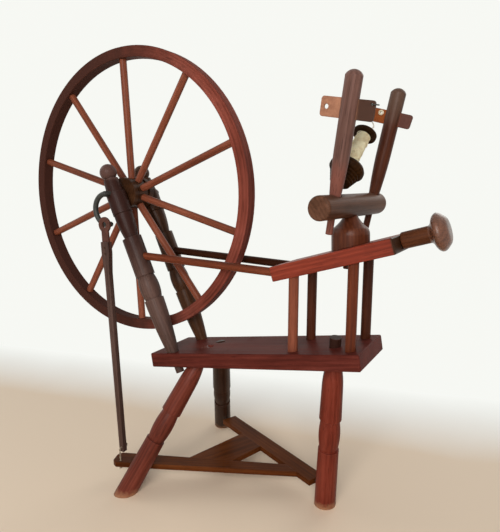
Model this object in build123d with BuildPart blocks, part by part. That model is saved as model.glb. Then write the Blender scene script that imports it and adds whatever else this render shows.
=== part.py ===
"""Saxony spinning wheel: a sloping bench on three splayed legs carries the drive wheel between two
turned uprights, a treadle with its footman, and a tension board with the mother-of-all.

Millimetres. +X runs along the bench to the flyer end, +Y to the back, +Z up. The origin is on the
floor, at the middle of the whole outline.
"""
from build123d import *

import os
from math import atan2, cos, degrees, hypot, pi, radians, sin, sqrt, tan

# Clearances
glue_gap = 0.05  # round a glued or pegged joint
running_gap = 0.08  # round a pin or shaft that turns
slide_gap = 0.4  # between faces that slide past each other
knot_gap = 0.3  # a knot to the mouth of its hole

# Bench
bench_x = 106.84  # middle of the bench, from the origin
bench_y = -30.8
bench_height = 259.0  # top face at the middle
bench_slope = 8.0  # degrees, flyer end up
bench_length = 375.0
bench_width = 108.0
bench_thickness = 24.0
bench_edge = 1.5

# Legs: turned alike, each from its foot on the floor to its place under the bench
leg_inset = {"leg_right": 55.5, "leg_front": 78.5, "leg_back": 83.5}  # from the bench's end
leg_side = {"leg_right": -10.0, "leg_front": -23.0, "leg_back": 37.0}  # from the bench's middle line
leg_run = {"leg_right": -27.06, "leg_front": -100.4, "leg_back": -96.35}  # foot from that place, along
leg_splay = {"leg_right": 28.0, "leg_front": -91.0, "leg_back": 137.0}  # and to the side
leg_foot_radius = 17.3
leg_shoulder_radius = 16.2
leg_shoulder = 106.0  # from the foot, along the leg
leg_groove = 161.0
leg_groove_radius = 13.9
leg_bead_radius = 16.7
leg_vase_radius = 17.2
leg_vase_top_radius = 16.0
leg_neck_radius = 10.4
leg_neck_length = 40.0
leg_tenon_radius = 8.6
right_tenon_rise = 15.0  # the right leg's tenon stands proud of the bench

# Uprights: sizes along the turning start at the bench
upright_inset = 41.5  # from the bench's wheel end
upright_side = 42.0  # from the bench's middle line
upright_foot_radius = 9.8
upright_taper_radius = 16.8
upright_taper_end = 96.0
upright_bead_radius = 17.4
upright_bead_end = 139.0
upright_barrel_radius = 16.7
upright_barrel_end = 209.0
upright_waist_radius = 11.6
upright_vase_radius = 16.0
upright_vase_end = 253.0
upright_groove_radius = 14.2
upright_groove_step = 1.0
upright_drum_radius = 17.1
upright_cone_radius = 12.8
upright_cone_length = 26.0
upright_ball_neck = 8.5
upright_ball_collar = 2.0
upright_ball_radius = 14.6
upright_tenon_radius = 7.0
upright_tenon_rise = 12.0  # tenon below the bench

# Drive wheel
axle_reach = 109.9  # axle past the feet of the uprights
axle_height = 508.8
wheel_radius = 250.0
rim_depth = 18.5
rim_width = 22.0
rim_edge = 1.5
spoke_count = 10
spoke_turn = -1.0  # degrees, first spoke from straight up
spoke_radius = 6.3
spoke_in_rim = 11.0
spoke_in_hub = 12.0
spoke_tenon_radius = 3.8
hub_radius = 26.0
hub_flange_radius = 28.0
hub_flange_width = 9.0
hub_groove_radius = 23.5
hub_groove_width = 2.5
hub_side_gap = 1.0  # hub to upright
axle_radius = 5.0
axle_end = 6.0  # axle past the back upright

# Crank, forged in one with the axle
crank_throw = 52.0
crank_turn = 10.0  # degrees, pin from straight down
crank_bow = 29.0  # how far the arm bows out
crank_radius = 4.5
crank_gap = 4.0  # arm to the upright's drum
crank_pin_radius = 4.0
crank_pin_reach = 4.0  # pin past the arm

# Footman
footman_gap = 0.8  # crank pin's tip to the back of the bar
footman_head_width = 17.0
footman_head = 20.0  # straight part of the head
footman_waist_width = 11.0
footman_waist = 52.0  # below the top of the bar
footman_bottom_width = 9.5
footman_thickness = 8.4
footman_foot = 52.0  # bottom of the bar above the floor
footman_lean = 6.5  # and past its eye, to the flyer end
footman_eye_radius = 13.0
footman_hole_radius = 4.6
footman_neck_width = 15.0
footman_neck = 29.0  # eye to the top of the bar
footman_leather = 4.0
footman_tongue = 30.0
footman_pin_radius = 2.0

# Treadle: three boards in one plane, swinging on pins in the right and back legs
treadle_height = 32.0  # its axis above the floor
treadle_thickness = 9.0
treadle_bar_width = 30.0
treadle_bar_gap = 6.5  # bar's end to the leg
treadle_pin_radius = 2.6
treadle_pin_in_leg = 14.0
treadle_pin_in_bar = 30.0
lever_past = 17.03  # lever's free end past the thong
lever_behind = 4.8  # and behind it
lever_turn = 21.3  # degrees from the bench's line
lever_end_width = 33.0
lever_root_width = 21.0
lever_corner = 7.0
footboard_along = 163.21  # its middle line, from the lever's free end
footboard_turn = 72.6
footboard_width = 62.0

# Thong that ties the footman to the lever
thong_radius = 1.5
thong_hole_radius = 2.0
thong_rise = 8.0  # hole above the footman's foot
thong_front = 4.0  # strand in front of the bar
thong_bend = 3.5
thong_knot_radius = 3.4

# Posts, tension board and tie rods
post_left_inset = 108.5  # from the bench's flyer end
post_right_inset = 18.5
post_side = 34.0
post_lean = 2.0  # degrees, tops towards the flyer end
post_radius = 7.5
post_in_bench = 16.0
post_in_board = 12.0
board_inset = 49.68  # middle of the board, from the bench's flyer end
board_height = 419.2  # top face at the middle
board_slope = 15.0
board_length = 184.0
board_width = 92.0
board_thickness = 22.0
board_edge = 1.2
rod_radius = 6.4
rod_rise = 177.0  # along the upright
rod_in_upright = 10.0
rod_side = 36.0  # where it enters the board
rod_above = 2.5  # over the middle of the board's end
rod_in_board = 14.0

# Tension screw
screw_radius = 6.5
screw_above = 2.4  # over the middle of the board
screw_travel = 15.0  # mother-of-all, each way from rest
slot_end_gap = 2.5  # stem to the end of its slot, at the end of its travel
screw_past_slot = 15.0
handle_radius = 11.6
handle_length = 36.5
handle_edge = 2.0
handle_gap = 0.5
knob_tenon_radius = 6.0
knob_tenon_length = 14.0
knob_tenon_gap = 0.3  # tenon to the bottom of its hole
knob_radius = 25.8
knob_flare = 7.0  # length of the flare from the handle
knob_widest = 13.0
knob_shoulder = 21.0
knob_length = 26.0

# Mother-of-all
moa_along = 19.4  # collar's axis, past the middle of the board
moa_above = 58.3  # bar's axis over the board's top at the collar
moa_turn = 5.5  # degrees, turned clockwise seen from above
moa_bar_radius = 16.4
moa_bar_length = 192.0
moa_bar_edge = 4.0
collar_drum_radius = 27.0
collar_drum_top = -40.0  # from the bar's axis
collar_shoulder_radius = 24.0
collar_shoulder = -31.0
collar_round = 0.8  # how far the shoulder draws in half way up
collar_neck_radius = 10.0
collar_neck = -15.0
collar_hollow = 1.0  # middle of the hollow below the neck, over half way
collar_tenon_radius = 7.0
collar_tenon_top = 6.0
stem_radius = 10.5
stem_below = 8.0  # stem under the board

# Maidens: sizes along them start at the bar's axis
maiden_spacing = 129.0
maiden_shift = 10.5  # middle between them, behind the collar
maiden_lean = 12.3  # degrees, tops towards the flyer end
maiden_spread = 4.4  # degrees, tops apart
maiden_seat = 14.2
maiden_foot_radius = 7.6
maiden_seat_rim = 1.3  # spot face past the foot
maiden_taper_top = 72.0
maiden_taper_radius = 10.8
maiden_belly = 0.6  # how far the taper swells
maiden_radius = 11.2
maiden_top = 170.0
maiden_dome = 7.0
maiden_tenon_radius = 4.9
maiden_tenon_drop = 37.0

# Leather bearings through the maidens
leather_height = {"front": 124.0, "back": 127.0}  # middle of the strip
leather_width = {"front": 25.0, "back": 20.0}
leather_left = {"front": 39.0, "back": 42.0}
leather_right = {"front": 34.0, "back": 29.5}
leather_turn = {"front": 0.0, "back": 5.5}  # degrees, left end up
leather_thickness = 3.5
leather_corner = 4.0
front_hole_place = -31.0
front_hole_radius = 3.1
eyelet_place = -19.0
eyelet_above = 4.6
eyelet_hole_radius = 1.8
eyelet_wall = 1.0
eyelet_flange_radius = 4.0
eyelet_flange = 0.6
ring_place = 29.0  # wire ring in the front leather's right end
ring_above = 8.0
ring_radius = 4.2
ring_wire_radius = 0.8
ring_hole_radius = 1.3

# Bobbin, hung on a cord between the maidens; sizes along it start at its large flange
bobbin_along = 1.28  # from the middle of the mother-of-all
bobbin_front = 21.0
bobbin_above = 49.27
bobbin_tilt = 38.2  # degrees, top leaning to the back
bobbin_lean = 14.3  # degrees, top leaning to the flyer end
bobbin_bore_radius = 3.0
bobbin_barrel_radius = 7.0
bobbin_flange_radius = 24.4
bobbin_flange_half = 5.5
bobbin_flange_bevel = 2.0
bobbin_top_radius = 17.0
bobbin_top = 66.0
bobbin_top_thickness = 4.5
bobbin_top_edge = 1.0
whorl_grooves = 4
whorl_pitch = 4.2
whorl_large_radius = 21.5
whorl_small_radius = 14.5
whorl_groove_depth = 2.0
yarn_turns = 25
yarn_pitch = 2.15
yarn_radius = 0.75
yarn_core = 1.3  # wool under the outer layer
yarn_end_gap = 0.3  # wool to the flanges
cord_radius = 0.9
cord_knot_radius = 4.2
cord_hole_radius = 1.2
cord_tie_place = -36.0  # hole in the back leather
cord_tie_below = 5.0
cord_tie_knot = 2.4
cord_out_of_bobbin = 7.2  # straight run past the bobbin
cord_lead = 16.0  # straight run up to the hole
cord_bend = 10.8

# Directions and places worked out from the sizes
bench_tilt = radians(bench_slope)
bench_top = Plane(
    origin=(bench_x, bench_y, bench_height),
    x_dir=(cos(bench_tilt), 0, sin(bench_tilt)),
    z_dir=(-sin(bench_tilt), 0, cos(bench_tilt)),
)
bench_under = bench_top.offset(-bench_thickness)
board_tilt = radians(board_slope)
board_top = Plane(
    origin=(bench_x + bench_length / 2 * cos(bench_tilt) - board_inset, bench_y, board_height),
    x_dir=(cos(board_tilt), 0, sin(board_tilt)),
    z_dir=(-sin(board_tilt), 0, cos(board_tilt)),
)
board_middle = board_top.offset(-board_thickness / 2)
board_under = board_top.offset(-board_thickness)
screw_plane = board_middle.offset(screw_above)
upright_along = upright_inset - bench_length / 2
axle = Vector(bench_x + upright_along * cos(bench_tilt) - axle_reach, bench_y, axle_height)


def turning_plane(foot, top):
    """The plane a turned piece is drawn on: X is its radius, Y runs along it from foot to top."""
    line = (Vector(*top) - Vector(*foot)).normalized()
    side = line.cross(Vector(0, 1, 0)).normalized()
    return Plane(foot, x_dir=side, z_dir=side.cross(line))


def turning_axis(plane):
    return Axis(plane.origin, plane.y_dir)


def height_at(plane, x):
    """Height of a plane that slopes along X, at x."""
    return plane.origin.Z + (x - plane.origin.X) * plane.x_dir.Z / plane.x_dir.X


def pin(start, direction, radius, length, mode=Mode.ADD):
    """Add or cut a round pin in the part being built."""
    with BuildSketch(Plane(start, z_dir=direction)) as section:
        Circle(radius)
    extrude(section.sketch, amount=length, mode=mode)


def bore(start, direction, radius, length):
    pin(start, direction, radius, length, Mode.SUBTRACT)


def crossing(point, angle, other_point, other_angle):
    """Where two lines on the floor plan meet, each given by a point and its angle in degrees."""
    ux, uy = cos(radians(angle)), sin(radians(angle))
    vx, vy = cos(radians(other_angle)), sin(radians(other_angle))
    dx, dy = other_point[0] - point[0], other_point[1] - point[1]
    reach = (dx * vy - dy * vx) / (ux * vy - uy * vx)
    return point[0] + ux * reach, point[1] + uy * reach


def knot_reach(knot_radius, hole_radius):
    """How far a round knot's middle stands off the mouth of the hole that it stops in."""
    return sqrt((knot_radius + knot_gap) ** 2 - hole_radius**2)


def beside(point, angle, distance):
    """The point that lies a distance to the left of a line on the floor plan."""
    return point[0] - sin(radians(angle)) * distance, point[1] + cos(radians(angle)) * distance


moa_x = board_top.origin.X + moa_along
moa_middle = Vector(moa_x, bench_y, height_at(board_top, moa_x) + moa_above)
moa_plane = Plane(moa_middle, x_dir=(cos(radians(moa_turn)), -sin(radians(moa_turn)), 0), z_dir=(0, 0, 1))

pieces = {}


def keep(name, part):
    part.label = name
    pieces[name] = part


# Lines that several pieces share
leg_lines = {}
for leg_name, inset in leg_inset.items():
    end = 1 if leg_name == "leg_right" else -1
    leg_head = bench_under.from_local_coords(Vector(end * (bench_length / 2 - inset), leg_side[leg_name], 0))
    leg_foot = Vector(leg_head.X + leg_run[leg_name], leg_head.Y + leg_splay[leg_name], 0)
    leg_lines[leg_name] = (leg_foot, leg_head, (leg_head - leg_foot).normalized())


def leg_point(name, height):
    foot, head, line = leg_lines[name]
    return foot + line * (height / line.Z)


upright_lines = {}
for side_name, side in (("front", -1), ("back", 1)):
    foot = bench_top.from_local_coords(Vector(upright_along, side * upright_side, 0))
    hole = Vector(axle.X, foot.Y, axle.Z)
    upright_lines[side_name] = (foot, hole, (hole - foot).normalized())
upright_axle = (upright_lines["front"][1] - upright_lines["front"][0]).length

rod_lines = {}
for side_name, side in (("front", -1), ("back", 1)):
    foot, hole, line = upright_lines[side_name]
    seat = board_middle.from_local_coords(Vector(-board_length / 2, side * rod_side, rod_above))
    rod_start = foot + line * rod_rise
    rod_lines[side_name] = (rod_start, seat, (seat - rod_start).normalized())

post_line = Vector(sin(radians(post_lean)), 0, cos(radians(post_lean)))
post_places = {}
for end_name, inset in (("left", post_left_inset), ("right", post_right_inset)):
    for side_name, side in (("front", -1), ("back", 1)):
        foot = bench_top.from_local_coords(Vector(bench_length / 2 - inset, side * post_side, 0))
        gap = (height_at(board_under, foot.X) - foot.Z) / (post_line.Z - post_line.X * tan(board_tilt))
        reach = post_in_bench + gap + post_in_board
        post_places[f"post_{side_name}_{end_name}"] = (foot - post_line * post_in_bench, reach)

# The slot's middle, and how far the stem moves in it on the floor plan
slot_run = 2 * (screw_travel * cos(board_tilt) + stem_radius + slot_end_gap)
stem_along = (moa_middle.X - screw_plane.origin.X) / cos(board_tilt)
screw_end = stem_along - slot_run / 2 / cos(board_tilt) - screw_past_slot

maiden_planes = {}
for side_name, side in (("front", -1), ("back", 1)):
    seat = moa_plane.from_local_coords(Vector(0, side * maiden_spacing / 2 + maiden_shift, 0))
    line = (
        moa_plane.x_dir * sin(radians(maiden_lean))
        + moa_plane.z_dir * cos(radians(maiden_lean))
        + moa_plane.y_dir * (side * sin(radians(maiden_spread)))
    ).normalized()
    across = (moa_plane.x_dir - line * moa_plane.x_dir.dot(line)).normalized()
    maiden_planes[side_name] = Plane(seat, x_dir=across, z_dir=line)

treadle_right = leg_point("leg_right", treadle_height)
treadle_back = leg_point("leg_back", treadle_height)
treadle_line = (treadle_back - treadle_right).normalized()
treadle_turn = degrees(atan2(treadle_line.Y, treadle_line.X))
treadle_ends = {"leg_right": (treadle_right, treadle_line), "leg_back": (treadle_back, -treadle_line)}
pin_start = leg_foot_radius - treadle_pin_in_leg  # bottom of a pin's hole, from the leg's axis

drum_front = upright_side + upright_drum_radius
crank_plane_y = bench_y - drum_front - crank_gap - crank_radius
crank_pin_tip_y = crank_plane_y - crank_radius - crank_pin_reach
crank_pin = Vector(
    axle.X + crank_throw * sin(radians(crank_turn)),
    crank_plane_y,
    axle.Z - crank_throw * cos(radians(crank_turn)),
)
footman_y = crank_pin_tip_y - footman_gap - footman_thickness / 2
footman_eye = Vector(crank_pin.X, footman_y, crank_pin.Z)
footman_tilt = atan2(footman_lean, footman_eye.Z - footman_foot)
footman_plane = Plane(footman_eye, x_dir=(cos(footman_tilt), 0, sin(footman_tilt)), z_dir=(0, -1, 0))
footman_length = hypot(footman_lean, footman_eye.Z - footman_foot)
peg_drops = [footman_neck + row * footman_tongue / 3 for row in (1, 2)]
thong_y = footman_y - footman_thickness / 2 - thong_front
thong_hole = footman_plane.from_local_coords(Vector(0, thong_rise - footman_length, 0))
treadle_top = treadle_height + treadle_thickness / 2
thong_pivot = Vector(thong_hole.X, footman_y, (footman_foot + treadle_top) / 2)

bobbin_middle = moa_middle + Vector(bobbin_along, -bobbin_front, bobbin_above)
bobbin_line = Vector(0, 0, 1).rotate(Axis.X, -bobbin_tilt).rotate(Axis.Y, bobbin_lean)
bobbin_plane = Plane(bobbin_middle, z_dir=bobbin_line)
bobbin_turning = Plane(bobbin_middle, x_dir=bobbin_plane.x_dir, z_dir=bobbin_plane.x_dir.cross(bobbin_line))
bobbin_bottom = -bobbin_flange_half - whorl_grooves * whorl_pitch

# Bench
with BuildPart() as bench:
    with BuildSketch(bench_under):
        Rectangle(bench_length, bench_width)
    extrude(amount=bench_thickness)
    chamfer(bench.edges(), bench_edge)
    for foot, head, line in leg_lines.values():
        bore(head - line * leg_tenon_radius, line, leg_tenon_radius + glue_gap, 3 * bench_thickness)
    for foot, hole, line in upright_lines.values():
        start = foot + line * upright_tenon_radius
        bore(start, -line, upright_tenon_radius + glue_gap, 3 * bench_thickness)
    for start, length in post_places.values():
        bore(start, post_line, post_radius + glue_gap, length)
keep("bench", bench.part)


def turned_leg(name):
    """A leg: foot cylinder, bead and vase, cut flat at the floor and along the bench's underside."""
    foot, head, line = leg_lines[name]
    drawing = turning_plane(foot, head)
    neck = (head - foot).length
    below, above = 3 * leg_foot_radius, 2 * leg_neck_radius
    taper = leg_vase_top_radius - leg_vase_radius
    vase_top = neck - leg_neck_length
    tenon_top = bench_thickness / line.dot(bench_top.z_dir)
    if name == "leg_right":
        tenon_top += right_tenon_rise
    with BuildPart() as leg:
        with BuildSketch(drawing):
            with BuildLine():
                Polyline(
                    (0, -below),
                    (leg_foot_radius, -below),
                    (leg_foot_radius, 0),
                    (leg_shoulder_radius, leg_shoulder),
                    (leg_groove_radius, leg_shoulder),
                )
                ThreePointArc(
                    (leg_groove_radius, leg_shoulder),
                    (leg_bead_radius, (leg_shoulder + leg_groove) / 2),
                    (leg_groove_radius, leg_groove),
                )
                Polyline(
                    (leg_groove_radius, leg_groove),
                    (leg_vase_radius, leg_groove),
                    (leg_vase_top_radius, vase_top),
                )
                TangentArc(
                    (leg_vase_top_radius, vase_top),
                    (leg_neck_radius, neck),
                    tangent=(taper, vase_top - leg_groove),
                )
                Polyline(
                    (leg_neck_radius, neck),
                    (leg_neck_radius, neck + above),
                    (0, neck + above),
                    (0, -below),
                )
            make_face()
        revolve(axis=turning_axis(drawing))
        split(bisect_by=Plane.XY, keep=Keep.TOP)
        split(bisect_by=bench_under, keep=Keep.BOTTOM)
        pin(head - line * leg_neck_length, line, leg_tenon_radius, leg_neck_length + tenon_top)
        if name != "leg_right":
            split(bisect_by=bench_top, keep=Keep.BOTTOM)
        if name in treadle_ends:
            end, towards_bar = treadle_ends[name]
            pin_hole = treadle_pin_radius + running_gap
            bore(end + towards_bar * pin_start, towards_bar, pin_hole, 2 * leg_foot_radius)
    return leg.part


for leg_name in leg_lines:
    keep(leg_name, turned_leg(leg_name))


def turned_upright(side_name):
    """An upright: taper, bead, barrel, vase, drum and ball, bored for the axle and its tie rod."""
    foot, hole, line = upright_lines[side_name]
    drawing = turning_plane(foot, hole)
    cone_end = upright_axle + upright_cone_length
    ball_foot = cone_end + upright_ball_collar
    ball_middle = ball_foot + sqrt(upright_ball_radius**2 - upright_ball_neck**2)
    below = 3 * upright_foot_radius
    rod_start, rod_seat, rod_line = rod_lines[side_name]
    with BuildPart() as upright:
        with BuildSketch(drawing):
            with BuildLine():
                Polyline((0, -below), (upright_foot_radius, -below), (upright_foot_radius, 0))
                ThreePointArc(
                    (upright_foot_radius, 0),
                    ((upright_foot_radius + 2 * upright_taper_radius) / 3, upright_taper_end * 0.45),
                    (upright_taper_radius, upright_taper_end),
                )
                Line((upright_taper_radius, upright_taper_end), (upright_groove_radius, upright_taper_end))
                ThreePointArc(
                    (upright_groove_radius, upright_taper_end),
                    (upright_bead_radius, (upright_taper_end + upright_bead_end) / 2),
                    (upright_groove_radius, upright_bead_end),
                )
                Polyline(
                    (upright_groove_radius, upright_bead_end),
                    (upright_barrel_radius, upright_bead_end),
                    (upright_barrel_radius, upright_barrel_end),
                    (upright_waist_radius, upright_barrel_end),
                )
                ThreePointArc(
                    (upright_waist_radius, upright_barrel_end),
                    (upright_vase_radius * 0.94, (upright_barrel_end + upright_vase_end) / 2),
                    (upright_vase_radius, upright_vase_end),
                )
                Polyline(
                    (upright_vase_radius, upright_vase_end),
                    (upright_groove_radius, upright_vase_end),
                    (upright_drum_radius, upright_vase_end + upright_groove_step),
                    (upright_drum_radius, upright_axle),
                    (upright_groove_radius, upright_axle),
                    (upright_groove_radius + upright_groove_step, upright_axle + upright_groove_step),
                    (upright_cone_radius, cone_end),
                    (upright_ball_neck, cone_end),
                    (upright_ball_neck, ball_foot),
                )
                ThreePointArc(
                    (upright_ball_neck, ball_foot),
                    (upright_ball_radius, ball_middle),
                    (0, ball_middle + upright_ball_radius),
                )
                Line((0, ball_middle + upright_ball_radius), (0, -below))
            make_face()
        revolve(axis=turning_axis(drawing))
        split(bisect_by=bench_top, keep=Keep.TOP)
        tenon = upright_taper_end / 2 + bench_thickness / line.dot(bench_top.z_dir) + upright_tenon_rise
        pin(foot + line * (upright_taper_end / 2), -line, upright_tenon_radius, tenon)
        across = Vector(hole.X, hole.Y - 2 * upright_drum_radius, hole.Z)
        bore(across, (0, 1, 0), axle_radius + running_gap, 4 * upright_drum_radius)
        bore(rod_start + rod_line * (upright_barrel_radius - rod_in_upright), rod_line,
             rod_radius + glue_gap, 2 * upright_barrel_radius)
    return upright.part


def tie_rod(side_name):
    """A plain dowel from an upright's barrel to the end of the tension board."""
    start, seat, line = rod_lines[side_name]
    begin = start + line * (upright_barrel_radius - rod_in_upright)
    with BuildPart() as rod:
        pin(begin, line, rod_radius, (seat - begin).length + rod_in_board)
    return rod.part


for side_name in ("front", "back"):
    keep(f"upright_{side_name}", turned_upright(side_name))
    keep(f"tie_rod_{side_name}", tie_rod(side_name))

# Four posts between the bench and the tension board
for post_name, (start, length) in post_places.items():
    with BuildPart() as post:
        pin(start, post_line, post_radius, length)
    keep(post_name, post.part)

# Tension board: slotted for the stem, bored from its end for the screw
with BuildPart() as board:
    with BuildSketch(board_under):
        Rectangle(board_length, board_width)
    extrude(amount=board_thickness)
    chamfer(board.edges(), board_edge)
    with BuildSketch(Plane.XY.offset(board_height)) as slot:
        with Locations((moa_middle.X, bench_y)):
            SlotOverall(slot_run, 2 * (stem_radius + slide_gap))
    extrude(slot.sketch, amount=board_length, both=True, mode=Mode.SUBTRACT)
    bore(screw_plane.from_local_coords(Vector(screw_end - slide_gap, 0, 0)), screw_plane.x_dir,
         screw_radius + running_gap, board_length)
    for start, length in post_places.values():
        bore(start, post_line, post_radius + glue_gap, length)
    for start, seat, line in rod_lines.values():
        bore(seat - line * rod_in_board, line, rod_radius + glue_gap, 2 * rod_in_board)
keep("tension_board", board.part)

# Drive wheel
spoke_step = 360 / spoke_count
spoke_lines = [Vector(0, 0, 1).rotate(Axis.Y, spoke_turn + spoke_step * turn) for turn in range(spoke_count)]
with BuildPart() as rim:
    with BuildSketch(Plane(axle, x_dir=(1, 0, 0), z_dir=(0, 0, 1))):
        with Locations((wheel_radius - rim_depth / 2, 0)):
            RectangleRounded(rim_depth, rim_width, rim_edge)
    revolve(axis=Axis(axle, (0, 1, 0)))
    for outward in spoke_lines:
        bore(axle, outward, spoke_radius + glue_gap, wheel_radius - rim_depth + spoke_in_rim)
keep("wheel_rim", rim.part)

hub_half = upright_side - upright_drum_radius - hub_side_gap
with BuildPart() as hub:
    with BuildSketch(Plane(axle, x_dir=(1, 0, 0), z_dir=(0, 0, 1))):
        with BuildLine():
            flange_in = hub_half - hub_flange_width
            groove_in = flange_in - hub_groove_width
            Polyline(
                (axle_radius + glue_gap, -hub_half),
                (hub_flange_radius, -hub_half),
                (hub_flange_radius, -flange_in),
                (hub_groove_radius, -flange_in),
                (hub_groove_radius, -groove_in),
                (hub_radius, -groove_in),
                (hub_radius, groove_in),
                (hub_groove_radius, groove_in),
                (hub_groove_radius, flange_in),
                (hub_flange_radius, flange_in),
                (hub_flange_radius, hub_half),
                (axle_radius + glue_gap, hub_half),
                close=True,
            )
        make_face()
    revolve(axis=Axis(axle, (0, 1, 0)))
    for outward in spoke_lines:
        bore(axle + outward * (hub_radius - spoke_in_hub), outward, spoke_tenon_radius + glue_gap, hub_radius)
keep("wheel_hub", hub.part)

for number, outward in enumerate(spoke_lines, start=1):
    shoulder = hub_radius + glue_gap
    with BuildPart() as spoke:
        spoke_top = wheel_radius - rim_depth + spoke_in_rim
        pin(axle + outward * shoulder, outward, spoke_radius, spoke_top - shoulder)
        pin(axle + outward * shoulder, -outward, spoke_tenon_radius, spoke_in_hub)
    keep(f"spoke_{number:02d}", spoke.part)

# Axle and crank: one iron bar, bowed from the axle to the crank pin
with BuildPart() as axle_crank:
    back_end = bench_y + drum_front + axle_end
    pin((axle.X, back_end, axle.Z), (0, -1, 0), axle_radius, back_end - crank_plane_y)
    arm_start = Vector(axle.X, crank_plane_y, axle.Z)
    arm_line = (crank_pin - arm_start).normalized()
    bow = Vector(arm_line.Z, 0, -arm_line.X) * crank_bow
    with BuildLine() as arm:
        ThreePointArc(arm_start, (arm_start + crank_pin) / 2 + bow, crank_pin)
    with BuildSketch(Plane(arm_start, z_dir=arm.line % 0)) as section:
        Circle(crank_radius)
    sweep(section.sketch, path=arm.line)
    with Locations(arm_start):
        Sphere(axle_radius)
    with Locations(crank_pin):
        Sphere(crank_radius)
    pin(crank_pin, (0, -1, 0), crank_pin_radius, crank_plane_y - crank_pin_tip_y)
keep("axle_crank", axle_crank.part)

# Footman: a tapered bar with a leather eye let into its head, drawn down from the eye
with BuildPart() as footman_bar:
    half_sides = [
        (footman_bottom_width / 2, -footman_length),
        (footman_waist_width / 2, -footman_neck - footman_waist),
        (footman_head_width / 2, -footman_neck - footman_head),
        (footman_head_width / 2, -footman_neck),
    ]
    with BuildSketch(footman_plane.offset(footman_thickness / 2)):
        with BuildLine():
            Polyline(*half_sides, *[(-x, y) for x, y in reversed(half_sides)], close=True)
        make_face()
    extrude(amount=-footman_thickness)
    with BuildSketch(footman_plane.offset(footman_leather / 2 + glue_gap)) as slot:
        with Locations((0, -footman_neck - footman_tongue / 2)):
            Rectangle(2 * footman_head_width, footman_tongue)
    extrude(slot.sketch, amount=-footman_leather - 2 * glue_gap, mode=Mode.SUBTRACT)
    for drop in peg_drops:
        start = footman_plane.from_local_coords(Vector(0, -drop, footman_thickness))
        bore(start, (0, 1, 0), footman_pin_radius + glue_gap, 2 * footman_thickness)
    bore(thong_hole - Vector(0, footman_thickness, 0), (0, 1, 0), thong_hole_radius, 2 * footman_thickness)
keep("footman_bar", footman_bar.part)

with BuildPart() as footman_leather_eye:
    with BuildSketch(footman_plane.offset(footman_leather / 2)):
        Circle(footman_eye_radius)
        with Locations((0, -(footman_neck + footman_tongue) / 2)):
            Rectangle(footman_neck_width, footman_neck + footman_tongue)
        Circle(footman_hole_radius, mode=Mode.SUBTRACT)
        for drop in peg_drops:
            with Locations((0, -drop)):
                Circle(footman_pin_radius + glue_gap, mode=Mode.SUBTRACT)
    extrude(amount=-footman_leather)
keep("footman_eye", footman_leather_eye.part)

with BuildPart() as footman_pins:
    for drop in peg_drops:
        start = footman_plane.from_local_coords(Vector(0, -drop, footman_thickness / 2))
        pin(start, (0, 1, 0), footman_pin_radius, footman_thickness)
keep("footman_pins", footman_pins.part)

# Treadle
lever_start = (thong_hole.X - lever_past, thong_y + lever_behind)
bar_middle = (treadle_right.X, treadle_right.Y)
lever_meets_bar = crossing(lever_start, lever_turn, bar_middle, treadle_turn)
lever_length = hypot(lever_meets_bar[0] - lever_start[0], lever_meets_bar[1] - lever_start[1])
treadle_floor = treadle_height - treadle_thickness / 2
treadle_plane = Plane.XY.offset(treadle_floor)
bar_plane = Plane((treadle_right.X, treadle_right.Y, treadle_floor), x_dir=treadle_line, z_dir=(0, 0, 1))
lever_plane = Plane(
    (*lever_start, treadle_floor),
    x_dir=(cos(radians(lever_turn)), sin(radians(lever_turn)), 0),
    z_dir=(0, 0, 1),
)
bar_span = (treadle_back - treadle_right).length
bar_inset = leg_foot_radius + treadle_bar_gap
back_splay = hypot(leg_lines["leg_back"][2].X, leg_lines["leg_back"][2].Y) / leg_lines["leg_back"][2].Z
back_inset = bar_inset + treadle_thickness / 2 * back_splay

with BuildSketch(bar_plane) as bar_outline:
    with Locations(((bar_inset + bar_span - back_inset) / 2, 0)):
        Rectangle(bar_span - bar_inset - back_inset, treadle_bar_width)
with BuildSketch(lever_plane) as lever_outline:
    with BuildLine():
        half_end, half_root = lever_end_width / 2, lever_root_width / 2
        Polyline(
            (0, half_end - lever_corner),
            (lever_corner, half_end),
            (lever_length, half_root),
            (lever_length, -half_root),
            (lever_corner, -half_end),
            (0, lever_corner - half_end),
            close=True,
        )
    make_face()

with BuildPart() as treadle_bar:
    extrude(bar_outline.sketch, amount=treadle_thickness)
    bore(treadle_right, treadle_line, treadle_pin_radius + glue_gap, bar_inset + treadle_pin_in_bar)
    bore(treadle_back, -treadle_line, treadle_pin_radius + glue_gap, back_inset + treadle_pin_in_bar)
keep("treadle_bar", treadle_bar.part)

with BuildPart() as treadle_lever:
    extrude(lever_outline.sketch, amount=treadle_thickness)
    extrude(bar_outline.sketch, amount=treadle_thickness, mode=Mode.SUBTRACT)
    bore((thong_hole.X, thong_y, 0), (0, 0, 1), thong_hole_radius, 2 * treadle_height)
keep("treadle_lever", treadle_lever.part)

with BuildPart() as footboard:
    meeting = lever_plane.from_local_coords(Vector(footboard_along, 0, 0))
    middle = (meeting.X, meeting.Y)
    left = beside(middle, footboard_turn, footboard_width / 2)
    right = beside(middle, footboard_turn, -footboard_width / 2)
    with BuildSketch(treadle_plane):
        with BuildLine():
            Polyline(
                crossing(left, footboard_turn, lever_start, lever_turn),
                crossing(right, footboard_turn, lever_start, lever_turn),
                crossing(right, footboard_turn, bar_middle, treadle_turn),
                crossing(left, footboard_turn, bar_middle, treadle_turn),
                close=True,
            )
        make_face()
    extrude(amount=treadle_thickness)
    extrude(bar_outline.sketch, amount=treadle_thickness, mode=Mode.SUBTRACT)
    extrude(lever_outline.sketch, amount=treadle_thickness, mode=Mode.SUBTRACT)
keep("treadle_footboard", footboard.part)

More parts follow.
